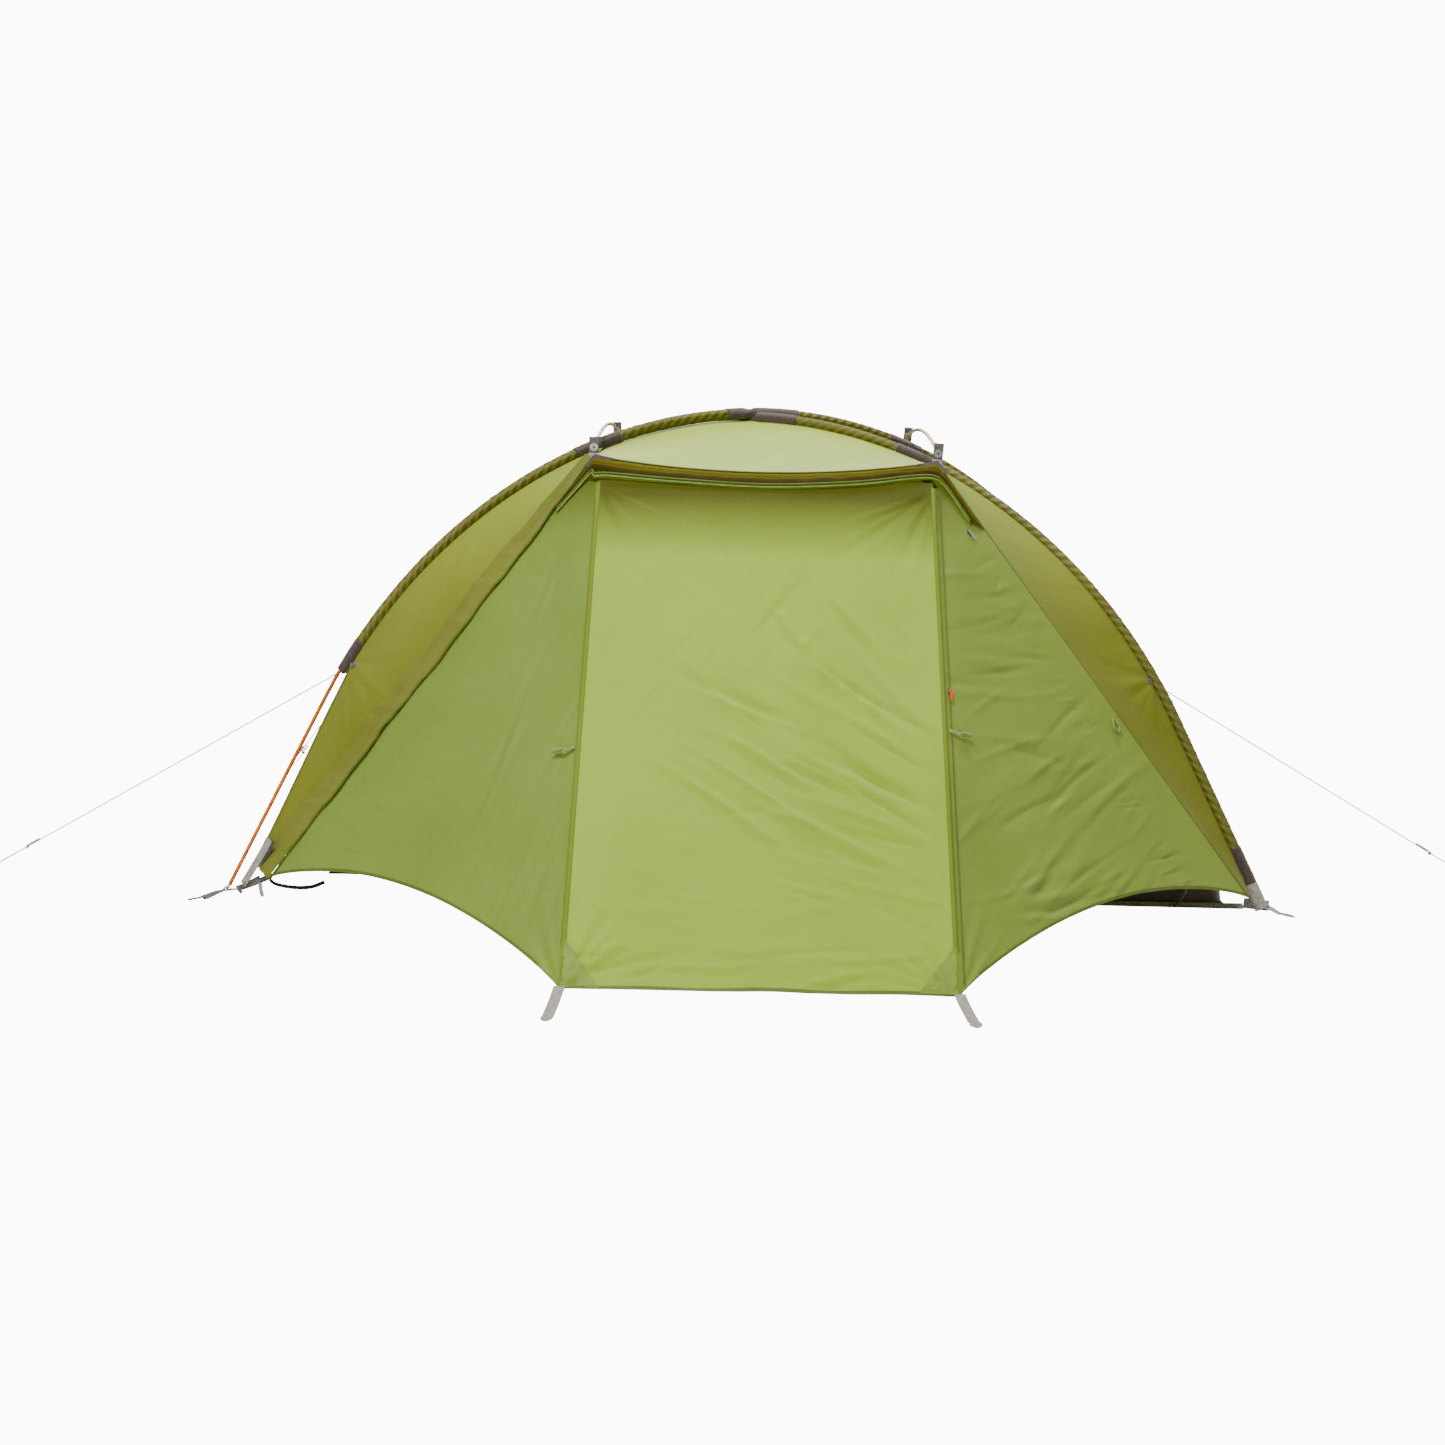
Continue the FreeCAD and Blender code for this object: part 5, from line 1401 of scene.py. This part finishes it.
def make_crown():
    """Brown cloth over the crossing; the upper pole's band is pinched and twisted near the middle."""
    bands = []
    for number, (bow, depth) in enumerate(((UPPER, FRONT), (LOWER, REAR))):
        distance = np.linspace(-0.080, 0.122, 60)
        centres = np.where((distance < 0)[:, None], bow.points(LEFT, depth, -distance), bow.points(RIGHT, -depth, distance))
        centres = centres - at(0, 0, SLEEVE_SAG)
        pinch = 1 - 0.22 * np.exp(-((distance + 0.018) / 0.013) ** 2) if number == 0 else np.ones(60)
        columns = 24
        angle = np.linspace(0, 2 * math.pi, columns, endpoint=False)[None, :]
        twist = 2.2 * smooth(-0.05, 0.02, distance)[:, None] * (1 - number)
        flute = 1 + 0.07 * np.sin(4 * (angle + twist)) * np.exp(-((distance[:, None] + 0.018) / 0.028) ** 2)
        size = (0.0146 * pinch)[:, None] * flute
        outs, sides = frames_along(centres, unit(at(FOOT_Y, depth * FOOT_X, 0)))
        profile = np.stack([np.cos(angle) * size, np.sin(angle) * size], axis=-1)
        bands.append(rings(f"crown_band_{number}", centres, outs, sides, profile, PATCH))
    keep(joined("crown_wrap", bands), "root", ["crown_patch"])


# ---------------------------------------------------------------- tabs, loops and straps

def make_eave_tabs():
    """Dark webbing tabs with an eyelet, each on a paler folded strap."""
    tabs, folds = [], []
    for side in (LEFT, RIGHT):
        for depth in (FRONT, REAR):
            base = at(side * EAVE_X, -EAVE_TIP_Y, EAVE_TIP_Z)
            lean = unit(at(side * 0.10 if side == RIGHT else -0.02, 0.16, 1))
            out = unit(at(0, -1, 0.16))
            path = [base + lean * 0.024 + out * 0.001, base + out * 0.001, base - lean * 0.020 + out * 0.001]
            across = np.cross(lean, out)
            tabs.append(strap(f"tab_{side + 2}{depth + 2}", faced(path, depth), faced(across, depth), 0.023, DARK_GREY, 0.0018))
            low = base - lean * 0.020
            loop = [low + out * 0.003 + lean * 0.006, low + out * 0.005 - lean * 0.008, low - out * 0.003 - lean * 0.013]
            folds.append(strap(f"fold_{side + 2}{depth + 2}", faced(loop, depth), faced(across, depth), 0.024, GREY, 0.0018))
    keep(joined("eave_tab_webbing", tabs), "root", ["eave_tabs"])
    keep(joined("eave_tab_folds", folds), "root", ())
    paint("eyelets", SILVER)


def make_guy_tabs():
    """Grey loops sewn at the sleeves, folded round the guylines' knots."""
    tabs = []
    for side in (LEFT, RIGHT):
        for depth in (FRONT, REAR):
            root = guy_root(side, FRONT)
            end = root + at(side * 0.030, 0, -0.012)
            path = [root + at(-side * 0.008, -0.022, 0.008), root + at(0, -0.024, 0.005),
                    (root + end) / 2 + at(0, -0.004, 0.002), end, end + at(-side * 0.010, 0.003, -0.003)]
            tabs.append(strap(f"guy_{side + 2}{depth + 2}", faced(path, depth), at(0, 0.35, 1), 0.011, DARK_GREY, 0.0016))
    keep(joined("guy_tab_webbing", tabs), "root", ["guy_tabs"])


def loop_end(name, end, along, width, material, depth):
    """The folded three-cornered end of a peg loop."""
    side = np.cross(UP, along)
    half = width / 2
    pieces = []
    for way in (-1, 1):
        start = end - along * 0.004 - side * half * 0.25 * way
        corner = end + along * 0.020 + side * half * 0.75 * way
        tip = end + along * 0.040 - side * 0.002 * way
        rows = [start, start * 0.3 + corner * 0.7, corner * 0.7 + tip * 0.3, tip]
        lift = at(0, 0, 0.0014 + 0.0012 * (way > 0))
        pieces.append(strap(f"{name}_{way}", faced([r + lift for r in rows], depth), faced(side, depth),
                            width * 0.55, material, 0.0012))
    return joined(name, pieces)


def peg_loop(name, points, across, width, material, depth, twist=0.0):
    points = [at(*p) for p in points]
    along = unit((points[-1] - points[-2]) * at(1, 1, 0))
    body = strap(f"{name}_strap", faced(points, depth), faced(across, depth), width, material, 0.0014, twist=twist)
    return [body, loop_end(f"{name}_end", points[-1] + at(0, 0, 0.001), along, width, material, depth)]


def make_stake_loops():
    others = []
    for depth in (FRONT, REAR):
        door = peg_loop(f"door_loop_{depth + 2}", [(-0.396, -1.446, 0.006), (-0.398, -1.480, 0.003),
                        (-0.399, -1.530, 0.0018), (-0.403, -1.648, 0.0018)], at(1, 0, 0), 0.023, GREY, depth)
        name = f"door_stake_loop_{WORD[depth]}"
        keep(joined(f"{name}_webbing", door), SWING[depth], [name])
        others += peg_loop(f"corner_loop_{depth + 2}", [(0.398, -1.446, 0.006), (0.400, -1.480, 0.003),
                           (0.403, -1.540, 0.0018), (0.409, -1.634, 0.0018)], at(1, 0, 0), 0.023, GREY, depth)
        others += peg_loop(f"foot_left_{depth + 2}", [(-1.218, -0.664, 0.008), (-1.232, -0.700, 0.010),
                           (-1.246, -0.716, 0.006), (-1.262, -0.736, 0.0018)], at(0.86, -0.5, 0.3), 0.016,
                           DARK_GREY, depth, twist=0.8)
        others += peg_loop(f"foot_right_{depth + 2}", [(1.178, -0.634, 0.010), (1.186, -0.652, 0.008),
                           (1.194, -0.668, 0.004), (1.203, -0.684, 0.0018)], at(0.88, 0.47, 0), 0.016, GREY, depth)
    keep(joined("peg_loops", others), "root", ["stake_loops"])


def make_base_straps():
    """Ground webbing on the right; on the left the tension strap, its tails and the hem's tie."""
    greys, darks, blacks = [], [], []
    for depth in (FRONT, REAR):
        def add(kind, name, points, across, width, material, **extra):
            kind.append(strap(f"{name}_{depth + 2}", faced([at(*p) for p in points], depth),
                              faced(at(*across), depth), width, material, **extra))
        add(greys, "base_right", [(0.52, -0.612, 0.0022), (0.70, -0.613, 0.0022), (0.90, -0.614, 0.0025),
                                  (1.128, -0.616, 0.004)], (0, 1, 0.6), 0.020, GREY)
        add(greys, "base_tail", [(1.00, -0.610, 0.050), (0.99, -0.618, 0.030), (0.975, -0.625, 0.012),
                                 (0.955, -0.635, 0.004)], (0.5, 0.6, 0.2), 0.016, DARK_GREY)
        add(greys, "corner_pull", [(-1.118, -0.690, 0.132), (-1.132, -0.684, 0.105), (-1.158, -0.674, 0.062),
                                   (-1.184, -0.668, 0.020)], (0.75, -0.5, 0.30), 0.021, GREY)
        add(darks, "corner_backing", [(-1.110, -0.694, 0.130), (-1.122, -0.690, 0.100), (-1.140, -0.684, 0.070)],
            (0.55, -0.6, 0.45), 0.017, BUCKLE)
        add(darks, "lock_strap", [(-1.112, -0.690, 0.046), (-1.135, -0.682, 0.036), (-1.160, -0.674, 0.024),
                                  (-1.200, -0.662, 0.008)], (0.3, 0.5, 0.7), 0.014, DARK_GREY, twist=0.9)
        add(greys, "tail_long", [(-1.140, -0.690, 0.030), (-1.136, -0.706, 0.020), (-1.132, -0.712, 0.008),
                                 (-1.130, -0.716, 0.0035)], (1, 0.2, 0.1), 0.009, GREY)
        add(greys, "tail_short", [(-1.196, -0.664, 0.014), (-1.192, -0.674, 0.009), (-1.184, -0.682, 0.0035)],
            (0.7, 0.5, 0.3), 0.008, DARK_GREY)
        add(blacks, "tail_black", [(-1.123, -0.666, 0.032), (-1.108, -0.664, 0.021), (-1.070, -0.662, 0.014),
                                   (-1.030, -0.660, 0.015), (-0.998, -0.658, 0.027)], (0, -0.4, 1), 0.009, BLACK, twist=0.5)
    pieces = joined("base_webbing", greys + darks + blacks)
    keep(pieces, "root", ["base_straps"])
    paint("ladder_locks", BUCKLE)


def make_pockets():
    """Grey webbing pockets over the right-hand pole tips, and the left tips' seats."""
    pieces = []
    for depth in (FRONT, REAR):
        stop = BOW.length
        bow = bow_of(RIGHT, depth)
        name = f"pocket_{depth + 2}"
        pieces.append(make_sleeve(name, bow, RIGHT, depth, stop - 0.064, stop - 0.001, 0.0145, GREY, 500, 0.0003, 0.004))
        box = [(1.128, -0.616, 0.012), (1.150, -0.628, 0.012), (1.182, -0.642, 0.012)]
        pieces.append(strap(f"pocket_box_{depth + 2}", faced([at(*p) for p in box], depth), faced(at(0, 0.25, 1), depth),
                            0.024, GREY, 0.0022))
        seat = BOW.points(LEFT, FRONT, stop)
        low = [seat + at(-0.012, -0.010, -0.009), seat + at(0, 0, -0.0095), seat + at(0.016, 0.008, -0.009)]
        pieces.append(strap(f"seat_{depth + 2}", faced(low, depth), faced(at(0.4, -0.8, 0), depth), 0.020, GREY, 0.0018))
    keep(joined("pocket_webbing", pieces), "root", ["pole_pockets"])


def tie_pieces(side, depth, height):
    """A toggle tie: a short ribbon out of the seam and the rolled toggle at its end."""
    foot, across, upward, out = wing_frame(side)
    head = sided(DOOR_HEAD, side)
    base = foot + (head - foot) * ((height - foot[2]) / (head[2] - foot[2])) + across * 0.008 + out * 0.004
    path = [base, base + across * 0.018 + out * 0.006 - upward * 0.004, base + across * 0.040 + out * 0.007 - upward * 0.002]
    ribbon = strap(f"ribbon_{side + 2}{depth + 2}", faced(path, depth), faced(upward, depth), 0.008, TOGGLE, 0.0014)
    end = base + across * 0.040 + out * 0.008
    bar = line(end - across * 0.014 - upward * 0.001, end + across * 0.014 + upward * 0.003, 14)
    share = np.linspace(-1, 1, 14)
    radius = 0.0042 * (1 - 0.5 * share ** 4)
    toggle = tube(f"toggle_{side + 2}{depth + 2}", faced(bar, depth), radius, TOGGLE, 12)
    return [ribbon, toggle]


def make_ties():
    right = []
    for depth in (FRONT, REAR):
        left = tie_pieces(LEFT, depth, 0.425)
        keep(joined(f"door_tie_{WORD[depth]}", left), FOLD[depth], [f"left_tie_{WORD[depth]}"])
        right += tie_pieces(RIGHT, depth, 0.470)
        out = wing_frame(RIGHT)[3]
        slope = DOOR_HEAD + (WING_FOOT - DOOR_HEAD) * 0.56
        top = slope + out * 0.003
        turn = np.linspace(0, 2 * math.pi, 40)
        across = unit(np.cross(out, UP))
        ring = np.stack([np.sin(turn) * np.sin(turn / 2) * 0.011, np.cos(turn) * 0.015 - 0.018], axis=-1)
        upward = unit(np.cross(across, out))
        centres = top + ring[:, :1] * across - ring[:, 1:] * upward * -1 + out * 0.002
        right.append(tube(f"ring_{depth + 2}", faced(centres, depth), 0.0016, TOGGLE, 8))
    keep(joined("tie_back_webbing", right), "root", ["tie_backs"])


# ---------------------------------------------------------------- inner tent

def narrowed(points, half_x):
    """The tray draws in towards its left end, behind the porch."""
    share = smooth(0.1, 1, -points[..., 0] / half_x)
    return points * np.stack([1 - 0.06 * share, 1 - 0.22 * share, np.ones_like(share)], axis=-1)


def make_groundsheet():
    """The tray: a crinkled floor and an upstand that leans and waves a little."""
    low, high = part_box("groundsheet")
    half_x, half_y = high.x, high.y
    columns, rows = 180, 100
    x, y = np.meshgrid(np.linspace(-half_x, half_x, columns), np.linspace(-half_y, half_y, rows))
    points = np.stack([x, y, np.full_like(x, 0.0015)], axis=-1)
    height = np.abs(ripple(points[..., :2], 600, 0.20, 0.004, 9))
    points[..., 2] += height
    floor = grid("floor_sheet", narrowed(points, half_x), FLOOR_CLOTH)
    corner = 0.05
    around = [(-half_x, -half_y), (half_x, -half_y), (half_x, half_y), (-half_x, half_y)]
    edge = []
    for number, (cx, cy) in enumerate(around):
        start = math.pi + number * math.pi / 2
        centre = at(cx - math.copysign(corner, cx), cy - math.copysign(corner, cy))
        for step in range(7):
            turn = start + step * math.pi / 12
            edge.append(centre + corner * at(math.cos(turn), math.sin(turn)))
    edge = np.array(edge + edge[:1])
    loop = resampled(np.column_stack([edge, np.zeros(len(edge))]), 560)
    share = np.linspace(0, 1, 14)[:, None]
    along = np.linspace(0, 2 * math.pi, 560)[None, :]
    wave = 0.004 * np.sin(along * 23) + 0.003 * np.sin(along * 51 + 1)
    lean = 1 - share * (0.012 + wave * 2)
    wall = np.stack([loop[None, :, 0] * lean, loop[None, :, 1] * lean,
                     0.003 + share * (0.104 + 0.006 * np.sin(along * 17))], axis=-1)
    side = grid("floor_wall", narrowed(wall, half_x), FLOOR_CLOTH)
    tray = keep(joined("floor_tray", [floor, side]), "root", ["groundsheet"])


INNER_INSET = 0.070


def inner_rail(side, depth, count):
    end = BOW.length
    while BOW.points(side, depth, end, INNER_INSET)[2] < 0.112:
        end -= 0.001
    return BOW.points(side, depth, np.linspace(0.11, end, count), INNER_INSET)


def inner_panel(name, left, right, seed, outward, material, belly=0.012):
    columns = cells(np.linalg.norm(right - left, axis=1).max(), 0.02)
    share = np.linspace(0, 1, columns)[None, :, None]
    ways = left[:, None] * (1 - share) + right[:, None] * share
    flat = on_plane(ways, left[0], at(1, 0.01, 0), at(0, 0, 1))
    height = ripple(flat, seed, 0.3, 0.004) - belly * pinned(flat.shape[:2], 8)
    return grid(name, raised(ways, height * pinned(flat.shape[:2], 3), outward), material)


def make_inner():
    count = 60
    for depth in (FRONT, REAR):
        left, right = inner_rail(LEFT, FRONT, count), inner_rail(RIGHT, FRONT, count)
        head = count // 3
        jamb_left = np.column_stack([np.maximum(left[:, 0], -0.430), left[:, 1:]])
        jamb_right = np.column_stack([np.minimum(right[:, 0], 0.380), right[:, 1:]])
        outward = at(0, -1, 0.5)
        walls = [inner_panel("side_a", left[head:], jamb_left[head:], 700, outward, CREAM),
                 inner_panel("side_b", jamb_right[head:], right[head:], 701, outward, CREAM),
                 inner_panel("top", left[:head + 1], right[:head + 1], 702, outward, CREAM)]
        wall = joined(f"inner_cloth_{WORD[depth]}", walls)
        turn_over(wall, depth)
        keep(wall, "root", [f"inner_wall_{WORD[depth]}"])
        leaf = inner_panel(f"inner_door_{WORD[depth]}", jamb_left[head:] + at(0.004, 0, 0),
                           jamb_right[head:] - at(0.004, 0, 0), 703, outward, MESH)
        turn_over(leaf, depth)
        keep(leaf, "root", ["inner_doors"])
        zip_edge = curve([jamb_left[head], (jamb_left[head + 12] + at(0.0, -0.004, 0)), jamb_left[-1]], 90)
        keep(tube(f"inner_zip_{WORD[depth]}", faced(zip_edge, depth), 0.003, BINDING, 8), "root", ())
    for side in (LEFT, RIGHT):
        front = inner_rail(side, FRONT, count) + at(0, 0.005, 0)
        rear = front * at(1, -1, 1)
        share = np.linspace(0, 1, 60)[None, :, None]
        ways = front[:, None] * (1 - share) + rear[:, None] * share
        flat = on_plane(ways, front[0], at(0, 1, 0), at(0, 0, 1))
        height = ripple(flat, 710 + side, 0.3, 0.004) * pinned(flat.shape[:2], 3)
        cloth = grid(f"inner_end_{HAND[side]}", raised(ways, height, at(side, 0, 0.5)), CREAM)
        keep(cloth, "root", ["inner_ends"])
    paint("inner_hooks", PULL_GREY)


def turn_over(obj, depth):
    """Turn a front piece over to the rear."""
    if depth == REAR:
        obj.data.transform(Matrix.Diagonal((1, -1, 1, 1)))
        obj.data.flip_normals()


# ---------------------------------------------------------------- everything

def make_poles():
    for name in ("long_pole_a", "long_pole_b"):
        paint(name, COPPER)
    paint("eave_poles", BRONZE)
    paint("pole_inserts", SILVER)
    paint("pole_tips", SILVER)
    paint("shock_cords", ELASTIC)


make_camera()
make_stage()
make_lights()
make_guylines()
for depth in (FRONT, REAR):
    make_roof(depth)
    make_door(depth)
    make_hood(depth)
    make_storm_flap(depth)
    make_zips(depth)
    make_seams(depth)
    for side in (LEFT, RIGHT):
        make_canopy(side, depth)
        make_wing(side, depth)
for side in (LEFT, RIGHT):
    make_end(side)
make_pulls()
make_sleeves()
make_patches()
make_crown()
make_eave_tabs()
make_guy_tabs()
make_stake_loops()
make_base_straps()
make_pockets()
make_ties()
make_groundsheet()
make_inner()
make_poles()
